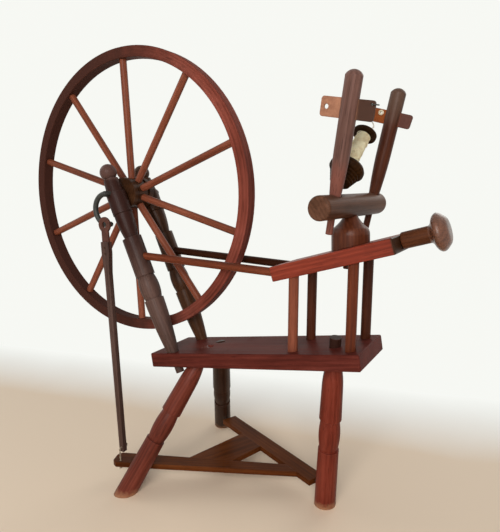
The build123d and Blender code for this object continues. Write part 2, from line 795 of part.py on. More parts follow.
for pin_name, leg_name, inset in (
    ("treadle_pin_right", "leg_right", bar_inset),
    ("treadle_pin_back", "leg_back", back_inset),
):
    end, towards_bar = treadle_ends[leg_name]
    begin = pin_start + slide_gap
    with BuildPart() as treadle_pin:
        pin(end + towards_bar * begin, towards_bar, treadle_pin_radius, inset + treadle_pin_in_bar - begin)
    keep(pin_name, treadle_pin.part)

# Thong: knotted behind the footman, through it, down its front and through the lever
with BuildPart() as thong:
    knot_out = knot_reach(thong_knot_radius, thong_hole_radius)
    back_knot = thong_hole + Vector(0, footman_thickness / 2 + knot_out, 0)
    low_knot = Vector(thong_hole.X, thong_y, treadle_floor - knot_out)
    with BuildLine() as strand:
        FilletPolyline(back_knot, (thong_hole.X, thong_y, thong_hole.Z), low_knot, radius=thong_bend)
    print(f"thong: bend radius {thong_bend:.1f} mm, held all the way")
    with BuildSketch(Plane(back_knot, z_dir=(0, -1, 0))) as section:
        Circle(thong_radius)
    sweep(section.sketch, path=strand.line)
    for knot in (back_knot, low_knot):
        with Locations(knot):
            Sphere(thong_knot_radius)
keep("footman_thong", thong.part)

# Tension screw and its knob
with BuildPart() as tension_screw:
    board_end = screw_plane.from_local_coords(Vector(board_length / 2, 0, 0))
    screw_line = screw_plane.x_dir
    start = screw_plane.from_local_coords(Vector(screw_end, 0, 0))
    pin(start, screw_line, screw_radius, board_length / 2 - screw_end + handle_gap)
    pin(board_end + screw_line * handle_gap, screw_line, handle_radius, handle_length)
    handle_rims = tension_screw.edges().filter_by(GeomType.CIRCLE).group_by(SortBy.RADIUS)[-1]
    fillet(handle_rims.sort_by(Axis.X)[0], handle_edge)
    bore(board_end + screw_line * (handle_gap + handle_length - knob_tenon_length), screw_line,
         knob_tenon_radius + glue_gap, 2 * knob_tenon_length)
keep("tension_screw", tension_screw.part)

knob_start = board_end + screw_line * (handle_gap + handle_length)
knob_drawing = turning_plane(knob_start, knob_start + screw_line)
with BuildPart() as tension_knob:
    with BuildSketch(knob_drawing):
        with BuildLine():
            Polyline(
                (0, knob_tenon_gap - knob_tenon_length),
                (knob_tenon_radius, knob_tenon_gap - knob_tenon_length),
                (knob_tenon_radius, 0),
                (handle_radius, 0),
            )
            Spline(
                (handle_radius, 0),
                (knob_radius * 0.84, knob_flare),
                (knob_radius, knob_widest),
                (knob_radius * 0.8, knob_shoulder),
                (0, knob_length),
                tangents=((0.3, 1), (-1, 0)),
            )
            Line((0, knob_length), (0, knob_tenon_gap - knob_tenon_length))
        make_face()
    revolve(axis=turning_axis(knob_drawing))
keep("tension_knob", tension_knob.part)

# Mother-of-all: bar, and the bell collar whose stem runs through the slot onto the screw
with BuildPart() as moa_bar:
    with BuildSketch(Plane(moa_middle - moa_plane.y_dir * (moa_bar_length / 2), z_dir=moa_plane.y_dir)):
        Circle(moa_bar_radius)
    extrude(amount=moa_bar_length)
    fillet(moa_bar.edges().filter_by(GeomType.CIRCLE), moa_bar_edge)
    bore(moa_middle - Vector(0, 0, 2 * moa_bar_radius), (0, 0, 1), collar_tenon_radius + glue_gap,
         2 * moa_bar_radius + collar_tenon_top)
    for plane in maiden_planes.values():
        bore(plane.origin - plane.z_dir * (2 * moa_bar_radius), plane.z_dir,
             maiden_tenon_radius + running_gap, 4 * moa_bar_radius)
        bore(plane.origin + plane.z_dir * maiden_seat, plane.z_dir,
             maiden_foot_radius + maiden_seat_rim, moa_bar_radius)
keep("moa_bar", moa_bar.part)

stem_foot = height_at(board_under, moa_middle.X) - stem_below - moa_middle.Z
with BuildPart() as moa_collar:
    collar_drawing = turning_plane(moa_middle, moa_middle + Vector(0, 0, 1))
    collar_foot = 1.5 * stem_foot
    with BuildSketch(collar_drawing):
        with BuildLine():
            Polyline((0, collar_foot), (collar_drum_radius, collar_foot), (collar_drum_radius, collar_drum_top))
            ThreePointArc(
                (collar_drum_radius, collar_drum_top),
                (collar_drum_radius - collar_round, (collar_drum_top + collar_shoulder) / 2),
                (collar_shoulder_radius, collar_shoulder),
            )
            ThreePointArc(
                (collar_shoulder_radius, collar_shoulder),
                (
                    (collar_shoulder_radius + 2 * collar_neck_radius) / 3,
                    (collar_shoulder + collar_neck) / 2 + collar_hollow,
                ),
                (collar_neck_radius, collar_neck),
            )
            Polyline((collar_neck_radius, collar_neck), (collar_neck_radius, 0), (0, 0), (0, collar_foot))
        make_face()
    revolve(axis=turning_axis(collar_drawing))
    split(bisect_by=board_top.offset(slide_gap), keep=Keep.TOP)
    bore(moa_middle - moa_plane.y_dir * moa_bar_length, moa_plane.y_dir, moa_bar_radius + glue_gap,
         2 * moa_bar_length)
    pin(moa_middle + Vector(0, 0, collar_drum_top), (0, 0, 1), collar_tenon_radius,
        collar_tenon_top - collar_drum_top)
    pin(moa_middle + Vector(0, 0, collar_drum_top), (0, 0, -1), stem_radius, collar_drum_top - stem_foot)
    bore(screw_plane.from_local_coords(Vector(stem_along - board_length, 0, 0)), screw_line,
         screw_radius + slide_gap, 2 * board_length)
keep("moa_collar", moa_collar.part)


def leather_face(side_name):
    """The front face of a maiden's leather: X along the strip, Y up the maiden."""
    plane = maiden_planes[side_name]
    middle = plane.origin + plane.z_dir * leather_height[side_name] - plane.y_dir * (leather_thickness / 2)
    along = plane.x_dir.rotate(Axis((0, 0, 0), plane.y_dir), leather_turn[side_name])
    return Plane(middle, x_dir=along, z_dir=-plane.y_dir)


def turned_maiden(side_name):
    """A maiden: a round club on a tenon, slotted for its leather."""
    plane = maiden_planes[side_name]
    drawing = Plane(plane.origin, x_dir=plane.y_dir, z_dir=plane.y_dir.cross(plane.z_dir))
    foot = maiden_seat + 2 * running_gap
    dome_ball = (maiden_radius**2 + maiden_dome**2) / (2 * maiden_dome)
    with BuildPart() as maiden:
        with BuildSketch(drawing):
            with BuildLine():
                Polyline(
                    (0, -maiden_tenon_drop),
                    (maiden_tenon_radius, -maiden_tenon_drop),
                    (maiden_tenon_radius, foot),
                    (maiden_foot_radius, foot),
                )
                ThreePointArc(
                    (maiden_foot_radius, foot),
                    (
                        (maiden_foot_radius + maiden_taper_radius) / 2 + maiden_belly,
                        (foot + maiden_taper_top) / 2,
                    ),
                    (maiden_taper_radius, maiden_taper_top),
                )
                Line((maiden_taper_radius, maiden_taper_top), (maiden_radius, maiden_top - maiden_dome))
                ThreePointArc(
                    (maiden_radius, maiden_top - maiden_dome),
                    (dome_ball * sin(radians(30)), maiden_top - dome_ball * (1 - cos(radians(30)))),
                    (0, maiden_top),
                )
                Line((0, maiden_top), (0, -maiden_tenon_drop))
            make_face()
        revolve(axis=turning_axis(drawing))
        with BuildSketch(leather_face(side_name).offset(glue_gap)) as slot:
            Rectangle(4 * maiden_radius, leather_width[side_name] + 2 * glue_gap)
        extrude(slot.sketch, amount=-leather_thickness - 2 * glue_gap, mode=Mode.SUBTRACT)
    return maiden.part


def leather_bearing(side_name, holes):
    """A flat strip of leather through a maiden, with round holes given as (along, up, radius)."""
    left, right = leather_left[side_name], leather_right[side_name]
    with BuildPart() as leather:
        with BuildSketch(leather_face(side_name)):
            with Locations(((right - left) / 2, 0)):
                RectangleRounded(left + right, leather_width[side_name], leather_corner)
            for along, up, radius in holes:
                with Locations((along, up)):
                    Circle(radius, mode=Mode.SUBTRACT)
        extrude(amount=-leather_thickness)
    return leather.part


eyelet_barrel_radius = eyelet_hole_radius + eyelet_wall
keep("maiden_front", turned_maiden("front"))
keep("maiden_back", turned_maiden("back"))
keep("leather_front", leather_bearing("front", [
    (front_hole_place, 0, front_hole_radius),
    (ring_place, ring_above, ring_hole_radius),
]))
keep("leather_back", leather_bearing("back", [
    (eyelet_place, eyelet_above, eyelet_barrel_radius + glue_gap),
    (cord_tie_place, -cord_tie_below, cord_hole_radius),
]))

# Eyelet set in the back leather
eyelet_face = leather_face("back")
eyelet_middle = eyelet_face.from_local_coords(Vector(eyelet_place, eyelet_above, -leather_thickness / 2))
eyelet_drawing = Plane(eyelet_middle, x_dir=eyelet_face.x_dir, z_dir=eyelet_face.y_dir)
with BuildPart() as eyelet:
    with BuildSketch(eyelet_drawing):
        inside = leather_thickness / 2 + glue_gap
        with BuildLine():
            Polyline(
                (eyelet_hole_radius, -inside - eyelet_flange),
                (eyelet_flange_radius, -inside - eyelet_flange),
                (eyelet_flange_radius, -inside),
                (eyelet_barrel_radius, -inside),
                (eyelet_barrel_radius, inside),
                (eyelet_flange_radius, inside),
                (eyelet_flange_radius, inside + eyelet_flange),
                (eyelet_hole_radius, inside + eyelet_flange),
                close=True,
            )
        make_face()
    revolve(axis=turning_axis(eyelet_drawing))
keep("eyelet", eyelet.part)

# Wire ring through the right end of the front leather
ring_face = leather_face("front")
ring_hole = ring_face.from_local_coords(Vector(ring_place, ring_above, -leather_thickness / 2))
ring_middle = ring_hole + ring_face.x_dir * ring_radius
with BuildPart() as ring:
    with BuildSketch(Plane(ring_hole, x_dir=ring_face.x_dir, z_dir=-ring_face.z_dir)):
        Circle(ring_wire_radius)
    revolve(axis=Axis(ring_middle, ring_face.y_dir))
keep("leather_ring", ring.part)

# Bobbin: grooved whorl, large flange, barrel and top flange, bored right through
with BuildPart() as bobbin:
    with BuildSketch(bobbin_turning):
        with BuildLine():
            whorl_step = (whorl_large_radius - whorl_small_radius) / whorl_grooves
            outline = [(bobbin_bore_radius, bobbin_bottom)]
            for groove in range(whorl_grooves):
                low = bobbin_bottom + groove * whorl_pitch
                rim_at = whorl_small_radius + groove * whorl_step
                outline.append((rim_at, low))
                outline.append((rim_at, low + whorl_pitch * 0.3))
                outline.append((rim_at - whorl_groove_depth, low + whorl_pitch * 0.6))
            outline += [
                (whorl_large_radius, -bobbin_flange_half),
                (bobbin_flange_radius, -bobbin_flange_half / 3),
                (bobbin_flange_radius, bobbin_flange_half / 3),
                (bobbin_flange_radius - bobbin_flange_bevel, bobbin_flange_half),
                (bobbin_barrel_radius, bobbin_flange_half),
                (bobbin_barrel_radius, bobbin_top - bobbin_top_thickness),
                (bobbin_top_radius, bobbin_top - bobbin_top_thickness),
                (bobbin_top_radius, bobbin_top - bobbin_top_edge),
                (bobbin_top_radius - bobbin_top_edge, bobbin_top),
                (bobbin_bore_radius, bobbin_top),
            ]
            Polyline(*outline, close=True)
        make_face()
    revolve(axis=Axis(bobbin_middle, bobbin_line))
keep("bobbin", bobbin.part)

# Wool on the bobbin: a plain core, and its outer layer wound as one tube
yarn_low = bobbin_flange_half + yarn_end_gap
yarn_high = bobbin_top - bobbin_top_thickness - yarn_end_gap
core_radius = bobbin_barrel_radius + glue_gap + yarn_core
with BuildPart() as yarn_core_part:
    with BuildSketch(bobbin_plane.offset(yarn_low)):
        Circle(core_radius)
        Circle(bobbin_barrel_radius + glue_gap, mode=Mode.SUBTRACT)
    extrude(amount=yarn_high - yarn_low)
keep("yarn_core", yarn_core_part.part)

coil_radius = core_radius + yarn_radius + glue_gap
coil_start = (yarn_low + yarn_high - yarn_turns * yarn_pitch) / 2


def coil_point(turn):
    angle = 2 * pi * turn
    local = Vector(coil_radius * cos(angle), coil_radius * sin(angle), coil_start + yarn_pitch * turn)
    return bobbin_plane.from_local_coords(local)


def coil_heading(turn):
    angle = 2 * pi * turn
    local = Vector(-coil_radius * sin(angle), coil_radius * cos(angle), yarn_pitch / (2 * pi))
    return (bobbin_plane.from_local_coords(local) - bobbin_plane.origin).normalized()


def biarc_joint(start, heading, end, end_heading):
    """Where two tangent arcs from start to end meet, and the direction they share there."""
    chord = end - start
    both = heading + end_heading
    spread = 2 * (1 - heading.dot(end_heading))
    reach = (sqrt(chord.dot(both) ** 2 + spread * chord.dot(chord)) - chord.dot(both)) / spread
    from_start, to_end = start + heading * reach, end - end_heading * reach
    return (from_start + to_end) / 2, (to_end - from_start).normalized()


with BuildPart() as yarn_winding:
    with BuildLine() as coil:
        Line(coil_point(0) - coil_heading(0) * (2 * yarn_radius), coil_point(0))
        for half in range(2 * yarn_turns):
            begin, finish = half / 2, (half + 1) / 2
            joint, heading = biarc_joint(coil_point(begin), coil_heading(begin), coil_point(finish),
                                         coil_heading(finish))
            TangentArc(coil_point(begin), joint, tangent=coil_heading(begin))
            TangentArc(joint, coil_point(finish), tangent=heading)
        Line(coil_point(yarn_turns), coil_point(yarn_turns) + coil_heading(yarn_turns) * (2 * yarn_radius))
    coil_path = coil.wire()
    with BuildSketch(Plane(coil_path @ 0, z_dir=coil_path % 0)) as section:
        Circle(yarn_radius)
    sweep(section.sketch, path=coil_path)
keep("yarn_winding", yarn_winding.part)

samples = [coil_point(step / 48) for step in range(48 * yarn_turns + 1)]
least_gap = min(
    (samples[i] - samples[j]).length
    for i in range(0, len(samples), 4)
    for j in range(i + 24, min(i + 120, len(samples)))
) - 2 * yarn_radius
print(f"yarn winding: {yarn_turns} turns, least gap to itself {least_gap:.2f} mm")
print(f"yarn winding: volume {yarn_winding.part.volume:.1f}, section times length "
      f"{pi * yarn_radius**2 * coil_path.length:.1f} mm3")

# Cord that holds the bobbin: knotted under the whorl, through the bore, tied to the back leather
cord_knot_at = bobbin_bottom - knot_reach(cord_knot_radius, bobbin_bore_radius)
cord_low = bobbin_plane.from_local_coords(Vector(0, 0, cord_knot_at))
cord_out = bobbin_plane.from_local_coords(Vector(0, 0, bobbin_top + cord_out_of_bobbin))
tie_face = leather_face("back")
cord_tie = tie_face.from_local_coords(Vector(cord_tie_place, -cord_tie_below, cord_lead))
cord_end_at = -leather_thickness - knot_reach(cord_tie_knot, cord_hole_radius)
cord_end = tie_face.from_local_coords(Vector(cord_tie_place, -cord_tie_below, cord_end_at))
with BuildPart() as bobbin_cord:
    with BuildLine() as strand:
        FilletPolyline(cord_low, cord_out, cord_tie, cord_end, radius=cord_bend)
    with BuildSketch(Plane(cord_low, z_dir=bobbin_line)) as section:
        Circle(cord_radius)
    sweep(section.sketch, path=strand.line)
    with Locations(cord_low):
        Sphere(cord_knot_radius)
    with Locations(cord_end):
        Sphere(cord_tie_knot)
keep("bobbin_cord", bobbin_cord.part)
print(f"bobbin cord: bend radii {cord_bend:.1f} mm, pulled tight")

# Places that the joints and mounts are set from
for place_name, point, direction in (
    ("wheel axle", axle, (0, 1, 0)),
    ("crank pin", crank_pin, (0, 1, 0)),
    ("treadle axis", treadle_right, treadle_line),
    ("thong pivot", thong_pivot, treadle_line),
    ("screw axis", board_end, screw_line),
    ("front maiden", maiden_planes["front"].origin, maiden_planes["front"].z_dir),
    ("back maiden", maiden_planes["back"].origin, maiden_planes["back"].z_dir),
    ("bobbin", bobbin_middle, bobbin_line),
    ("front bearing hole", ring_face.from_local_coords(Vector(front_hole_place, 0, -leather_thickness / 2)),
     ring_face.z_dir),
    ("eyelet", eyelet_middle, eyelet_face.z_dir),
    *((f"{leg_name} foot", line[0], (0, 0, -1)) for leg_name, line in leg_lines.items()),
):
    spot, way = Vector(*point), Vector(*direction)
    here = f"({spot.X:.3f}, {spot.Y:.3f}, {spot.Z:.3f})"
    print(f"{place_name}: {here} along ({way.X:.5f}, {way.Y:.5f}, {way.Z:.5f})")

os.makedirs("parts", exist_ok=True)
for piece_name, piece in pieces.items():
    export_step(piece, f"parts/{piece_name}.step")
print(f"{len(pieces)} pieces")
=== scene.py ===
"""Looks of the spinning wheel: stained wood, leather, iron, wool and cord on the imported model."""
import math
import random

import bpy
import numpy as np
from mathutils import Matrix, Vector, noise


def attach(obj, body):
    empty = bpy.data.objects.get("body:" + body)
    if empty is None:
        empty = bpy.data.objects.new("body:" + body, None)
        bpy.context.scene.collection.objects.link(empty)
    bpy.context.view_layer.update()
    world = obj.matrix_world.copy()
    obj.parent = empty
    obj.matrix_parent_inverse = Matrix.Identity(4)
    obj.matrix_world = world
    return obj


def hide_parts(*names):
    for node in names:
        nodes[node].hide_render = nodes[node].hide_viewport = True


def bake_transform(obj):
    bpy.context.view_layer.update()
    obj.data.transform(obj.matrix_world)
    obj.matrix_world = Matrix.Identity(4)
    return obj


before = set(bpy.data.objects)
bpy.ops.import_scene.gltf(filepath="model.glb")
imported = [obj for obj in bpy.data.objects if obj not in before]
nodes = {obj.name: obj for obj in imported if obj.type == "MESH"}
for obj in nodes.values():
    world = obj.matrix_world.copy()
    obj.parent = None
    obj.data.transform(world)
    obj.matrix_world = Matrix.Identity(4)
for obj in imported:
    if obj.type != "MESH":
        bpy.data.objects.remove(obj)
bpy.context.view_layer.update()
scene = bpy.context.scene
scene.view_settings.view_transform = "Standard"

# Camera at the photograph's viewing angle
CAMERA_PLACE = Vector((0.49359, -0.70155, 0.50577))
CAMERA_YAW = math.radians(-30.7055)
CAMERA_PITCH = math.radians(-8.5843)
CAMERA_ROLL = math.radians(-1.5969)
CAMERA_LENS = 33.29
CAMERA_SENSOR = 36
CAMERA_NEAREST = 0.01

forward = Vector((
    math.sin(CAMERA_YAW) * math.cos(CAMERA_PITCH),
    math.cos(CAMERA_YAW) * math.cos(CAMERA_PITCH),
    math.sin(CAMERA_PITCH),
))
level = Vector((math.cos(CAMERA_YAW), -math.sin(CAMERA_YAW), 0))
upright = level.cross(forward)
right = level * math.cos(CAMERA_ROLL) + upright * math.sin(CAMERA_ROLL)
up = -level * math.sin(CAMERA_ROLL) + upright * math.cos(CAMERA_ROLL)
facing = Matrix((right, up, -forward)).transposed().to_4x4()
camera_data = bpy.data.cameras.new("camera")
camera_data.sensor_width = CAMERA_SENSOR
camera_data.lens = CAMERA_LENS
camera_data.clip_start = CAMERA_NEAREST
camera = bpy.data.objects.new("camera", camera_data)
scene.collection.objects.link(camera)
camera.matrix_world = Matrix.Translation(CAMERA_PLACE) @ facing
scene.camera = camera


# Shader helpers
NOISE_LOW, NOISE_HIGH = 0.3, 0.7  # most of a noise lies between these
MIX_FIRST, MIX_SECOND, MIX_RESULT = 6, 7, 2  # colour sockets of a mix node


def add(tree, kind, inputs=None, **settings):
    """A new node with its settings, and its inputs set to a value or linked to a socket."""
    made = tree.nodes.new(kind)
    for key, value in settings.items():
        setattr(made, key, value)
    for socket, value in (inputs or {}).items():
        if isinstance(value, bpy.types.NodeSocket):
            tree.links.new(value, made.inputs[socket])
        else:
            made.inputs[socket].default_value = value
    return made


def ramp(tree, factor, stops):
    """Colour ramp through stops given as (position, colour)."""
    made = add(tree, "ShaderNodeValToRGB", {0: factor})
    elements = made.color_ramp.elements
    while len(elements) < len(stops):
        elements.new(0.5)
    for element, (place, colour) in zip(elements, stops):
        element.position = place
        element.color = (*colour, 1)
    return made.outputs[0]


def span(tree, value, low, high, out_low=0.0, out_high=1.0):
    """Value from low to high mapped to out_low to out_high, clamped."""
    inputs = {0: value, 1: low, 2: high, 3: out_low, 4: out_high}
    return add(tree, "ShaderNodeMapRange", inputs).outputs[0]


def noise_span(tree, value, out_low, out_high):
    """A noise mapped to out_low to out_high."""
    return span(tree, value, NOISE_LOW, NOISE_HIGH, out_low, out_high)


def math_node(tree, operation, first, second=0.0):
    return add(tree, "ShaderNodeMath", {0: first, 1: second}, operation=operation).outputs[0]


def weighted(tree, *shares):
    """Sum of values, each given with its weight."""
    total = None
    for value, weight in shares:
        part = math_node(tree, "MULTIPLY", value, weight)
        total = part if total is None else math_node(tree, "ADD", total, part)
    return total


def away_from(tree, place, start):
    """Place measured from start."""
    inputs = {0: place, 1: start}
    return add(tree, "ShaderNodeVectorMath", inputs, operation="SUBTRACT").outputs[0]


def dot(tree, first, second):
    inputs = {0: first, 1: second}
    return add(tree, "ShaderNodeVectorMath", inputs, operation="DOT_PRODUCT").outputs["Value"]


def mix(tree, factor, first, second):
    """First colour turning into second with the factor; each is a colour or a socket."""
    made = add(tree, "ShaderNodeMix", {0: factor}, data_type="RGBA")
    for socket, value in ((MIX_FIRST, first), (MIX_SECOND, second)):
        if isinstance(value, bpy.types.NodeSocket):
            tree.links.new(value, made.inputs[socket])
        else:
            made.inputs[socket].default_value = (*value, 1)
    return made.outputs[MIX_RESULT]


def noise_at(tree, vector, scale, detail, roughness=0.5, distortion=0.0):
    return add(tree, "ShaderNodeTexNoise", {
        "Vector": vector, "Scale": scale, "Detail": detail,
        "Roughness": roughness, "Distortion": distortion,
    }).outputs[0]


def ragged(tree, place, scale, detail, reach):
    """Noise that runs from -reach to reach."""
    return noise_span(tree, noise_at(tree, place, scale, detail), -reach, reach)


def stretched(tree, vector, along, shift):
    """Coordinates that draw a texture out along Z where along is below 1, shifted."""
    inputs = {"Vector": vector, "Location": shift, "Scale": (1.0, 1.0, along)}
    return add(tree, "ShaderNodeMapping", inputs).outputs[0]


def shaded(colour, factor):
    """A colour made darker or lighter."""
    return [c * factor for c in colour]


def start_material(name):
    """A new material, its node tree and shader, and coordinates in the piece's own space."""
    material = bpy.data.materials.new(name)
    material.use_nodes = True
    tree = material.node_tree
    shader = tree.nodes["Principled BSDF"]
    place = add(tree, "ShaderNodeTexCoord").outputs["Object"]
    return material, tree, shader, place


def bumped(tree, shader, height, strength, distance, normal=None):
    """Puts fine relief on the shader, over a rounded normal where one is given."""
    inputs = {"Strength": strength, "Distance": distance, "Height": height}
    if normal is not None:
        inputs["Normal"] = normal
    bump = add(tree, "ShaderNodeBump", inputs)
    tree.links.new(bump.outputs[0], shader.inputs["Normal"])


EDGE_SAMPLES = 6
EDGE_FLAT, EDGE_SHARP = 0.98, 0.80  # cosine between the rounded normal and the face's


def edge_mask(tree, radius):
    """1 along the sharp edges of a piece, 0 on its faces, and the rounded normal."""
    soft = add(tree, "ShaderNodeBevel", {"Radius": radius}, samples=EDGE_SAMPLES).outputs[0]
    flat = add(tree, "ShaderNodeNewGeometry").outputs["Normal"]
    return span(tree, dot(tree, soft, flat), EDGE_FLAT, EDGE_SHARP), soft


FADE_NOISE = (60.0, 3.0)  # scale, detail
FADE_RAGGED = 0.12


def faded(tree, place, colour, start, end, target):
    """Colour that turns into target along the straight way from start to end."""
    way = Vector(end) - Vector(start)
    far = dot(tree, away_from(tree, place, start), way / way.dot(way))
    far = math_node(tree, "ADD", far, ragged(tree, place, *FADE_NOISE, FADE_RAGGED))
    share = add(tree, "ShaderNodeMapRange", {0: far}, interpolation_type="SMOOTHSTEP").outputs[0]
    return mix(tree, share, colour, target)


# Layers of wood grain: scale, stretch along the grain, detail, roughness, distortion
BLOTCH = (16.0, 0.35, 3.0, 0.55, 0.0)
FIGURE = (90.0, 0.07, 4.0, 0.60, 0.4)
FIBRE = (620.0, 0.02, 2.0, 0.60, 0.0)
PORE = (1250.0, 0.03, 1.0, 0.50, 0.0)
GROWTH_RINGS = {
    "Scale": 60.0, "Distortion": 5.0, "Detail": 3.0, "Detail Scale": 1.2, "Detail Roughness": 0.6,
}
RING_STRETCH = 0.05
RING_DRIFT = 0.2
HEART = (0.03, 0.05)  # how far the tree's middle lies beside the piece
LATHE_LINES = {"Scale": 150.0, "Distortion": 1.5, "Detail": 2.0, "Detail Scale": 3.0}
SEED_STEPS = (0.371, 0.613, 0.197)
HOOP_RADIUS = 0.24  # about the middle of the rim

# Weights of the layers in the tone of the wood, and the tones that take each colour of a stain
FIGURE_SHARE, RING_SHARE, FIBRE_SHARE, BLOTCH_SHARE = 0.28, 0.07, 0.15, 0.50
DARK_AT, MIDDLE_AT, LIGHT_AT = 0.36, 0.50, 0.64
PORE_FROM, PORE_FULL, PORE_SHARE, PORE_SHADE = 0.60, 0.70, 0.50, 0.35

# Wear: light edges, dark scuffs and bare wood at the feet
WOOD_EDGE = 0.0016
RUB_FROM, RUB_FULL, RUB_LEAST, RUB_MOST = 0.40, 0.62, 0.02, 0.35
RUB_GAIN, RUB_LIFT = 1.7, 0.01
SCUFFS = (34.0, 5.0, 0.7)  # scale, detail, roughness
SCUFF_FROM, SCUFF_FULL, SCUFF_MOST, SCUFF_SHADE, SCUFF_ROUGH = 0.60, 0.78, 0.30, 0.55, 0.4
FOOT_NOISE = (120.0, 3.0)  # scale, detail
FOOT_RAGGED = 0.004
FOOT_TOP, FOOT_LOW = 0.012, 0.001
BARE_WOOD = (0.34, 0.17, 0.09)

# Varnish and relief
GLOSS_BELOW, GLOSS_ABOVE = 0.04, 0.08
FIBRE_RELIEF, PORE_RELIEF = 0.35, -0.5
WOOD_BUMP = (0.35, 0.0003)  # strength, distance
COAT_SHARE, COAT_ROUGHNESS = 0.35, 0.26


def grain_along(tree, place, axis, origin):
    """Coordinates with Z along the grain and zero at the piece's middle."""
    turn = Vector(axis).normalized().rotation_difference(Vector((0, 0, 1)))
    shift = -(turn @ Vector(origin))
    inputs = {"Vector": place, "Location": shift, "Rotation": turn.to_euler()}
    return add(tree, "ShaderNodeMapping", inputs).outputs[0]


def grain_round(tree, place, centre):
    """Coordinates for a hoop's grain: out from its centre, along its axle and round it."""
    parts = add(tree, "ShaderNodeSeparateXYZ", {0: away_from(tree, place, centre)}).outputs
    x, y, z = parts[0], parts[1], parts[2]
    out = math_node(tree, "SQRT", weighted(tree, (x, x), (z, z)))
    way_round = math_node(tree, "MULTIPLY", math_node(tree, "ARCTAN2", z, x), HOOP_RADIUS)
    return add(tree, "ShaderNodeCombineXYZ", {0: out, 1: y, 2: way_round}).outputs[0]


def grain_layer(tree, along, drift, scale, stretch, detail, roughness, distortion):
    vector = stretched(tree, along, stretch, drift)
    return noise_at(tree, vector, scale, detail, roughness, distortion)


def wood(name, axis, origin, stain, seed, lathe=0.0, gloss=0.38, shine=0.09, foot_wear=0.0,
         ring_centre=None, fades=()):
    """Stained, varnished wood with its grain along axis; ring_centre wraps the grain round a hoop,
    and each of fades (start, end, colour) changes the colour along a piece, on some pieces as
    painted shade."""
    dark, middle, light = stain
    material, tree, shader, place = start_material(name)
    if ring_centre is None:
        along = grain_along(tree, place, axis, origin)
    else:
        along = grain_round(tree, place, ring_centre)
    drift = [seed * step % 1.0 for step in SEED_STEPS]
    heart = (drift[0] * RING_DRIFT + HEART[0], drift[1] * RING_DRIFT + HEART[1], drift[2])

    blotch = grain_layer(tree, along, drift, *BLOTCH)
    figure = grain_layer(tree, along, drift, *FIGURE)
    rings = add(tree, "ShaderNodeTexWave", {
        "Vector": stretched(tree, along, RING_STRETCH, heart), **GROWTH_RINGS,
    }, wave_type="RINGS", rings_direction="Z").outputs[1]
    fibre = grain_layer(tree, along, drift, *FIBRE)
    pore = span(tree, grain_layer(tree, along, drift, *PORE), PORE_FROM, PORE_FULL)

    tone = weighted(tree, (figure, FIGURE_SHARE), (rings, RING_SHARE),
                    (fibre, FIBRE_SHARE), (blotch, BLOTCH_SHARE))
    colour = ramp(tree, tone, ((DARK_AT, dark), (MIDDLE_AT, middle), (LIGHT_AT, light)))
    # Colour changes along the piece, painted shade on some pieces
    for fade in fades:
        colour = faded(tree, place, colour, *fade)
    open_pore = math_node(tree, "MULTIPLY", pore, PORE_SHARE)
    colour = mix(tree, open_pore, colour, shaded(dark, PORE_SHADE))
    edge, soft_normal = edge_mask(tree, WOOD_EDGE)
    worn = span(tree, blotch, RUB_FROM, RUB_FULL, RUB_LEAST, RUB_MOST)
    rubbed = math_node(tree, "MULTIPLY", edge, worn)
    colour = mix(tree, rubbed, colour, [c * RUB_GAIN + RUB_LIFT for c in light])
    scuff = span(tree, noise_at(tree, place, *SCUFFS), SCUFF_FROM, SCUFF_FULL, 0.0, SCUFF_MOST)
    colour = mix(tree, scuff, colour, shaded(dark, SCUFF_SHADE))
    if foot_wear:
        height = add(tree, "ShaderNodeSeparateXYZ", {0: place}).outputs[2]
        uneven = ragged(tree, place, *FOOT_NOISE, FOOT_RAGGED)
        height = math_node(tree, "ADD", height, uneven)
        bare = span(tree, height, FOOT_TOP, FOOT_LOW, 0.0, foot_wear)
        colour = mix(tree, bare, colour, BARE_WOOD)
    tree.links.new(colour, shader.inputs["Base Color"])

    varnish = noise_span(tree, figure, gloss - GLOSS_BELOW, gloss + GLOSS_ABOVE)
    scratched = math_node(tree, "MULTIPLY", scuff, SCUFF_ROUGH)
    rough = math_node(tree, "ADD", varnish, scratched)
    tree.links.new(rough, shader.inputs["Roughness"])
    reliefs = [(fibre, FIBRE_RELIEF), (pore, PORE_RELIEF)]
    if lathe:
        turning = add(tree, "ShaderNodeTexWave", {"Vector": along, **LATHE_LINES},
                      wave_type="BANDS", bands_direction="Z").outputs[1]
        reliefs.append((turning, lathe))
    bumped(tree, shader, weighted(tree, *reliefs), *WOOD_BUMP, soft_normal)
    shader.inputs["Specular IOR Level"].default_value = shine
    shader.inputs["Coat Weight"].default_value = shine * COAT_SHARE
    shader.inputs["Coat Roughness"].default_value = COAT_ROUGHNESS
    return material


# Leather: noise as scale, detail, roughness
HIDE_CLOUD = (70.0, 4.0, 0.6)
HIDE_SPECK = (420.0, 3.0, 0.65)
HIDE_CELLS = 900.0
HIDE_SEED_STEPS = (1.0, 0.7, 0.3)
CREASE_WIDTH = 0.18
CLOUD_SHARE, SPECK_SHARE = 0.65, 0.35
HIDE_DARK_AT, HIDE_LIGHT_AT = 0.32, 0.68
CREASE_MOST, CREASE_SHADE = 0.22, 0.4
HIDE_EDGE, HIDE_EDGE_SHARE, HIDE_EDGE_SHADE = 0.0014, 0.55, 0.35
HIDE_SMOOTHEST, HIDE_ROUGHEST = 0.52, 0.74
CREASE_RELIEF, SPECK_RELIEF = 0.6, 0.5
HIDE_BUMP = (0.5, 0.0004)  # strength, distance
HIDE_SHINE = 0.15


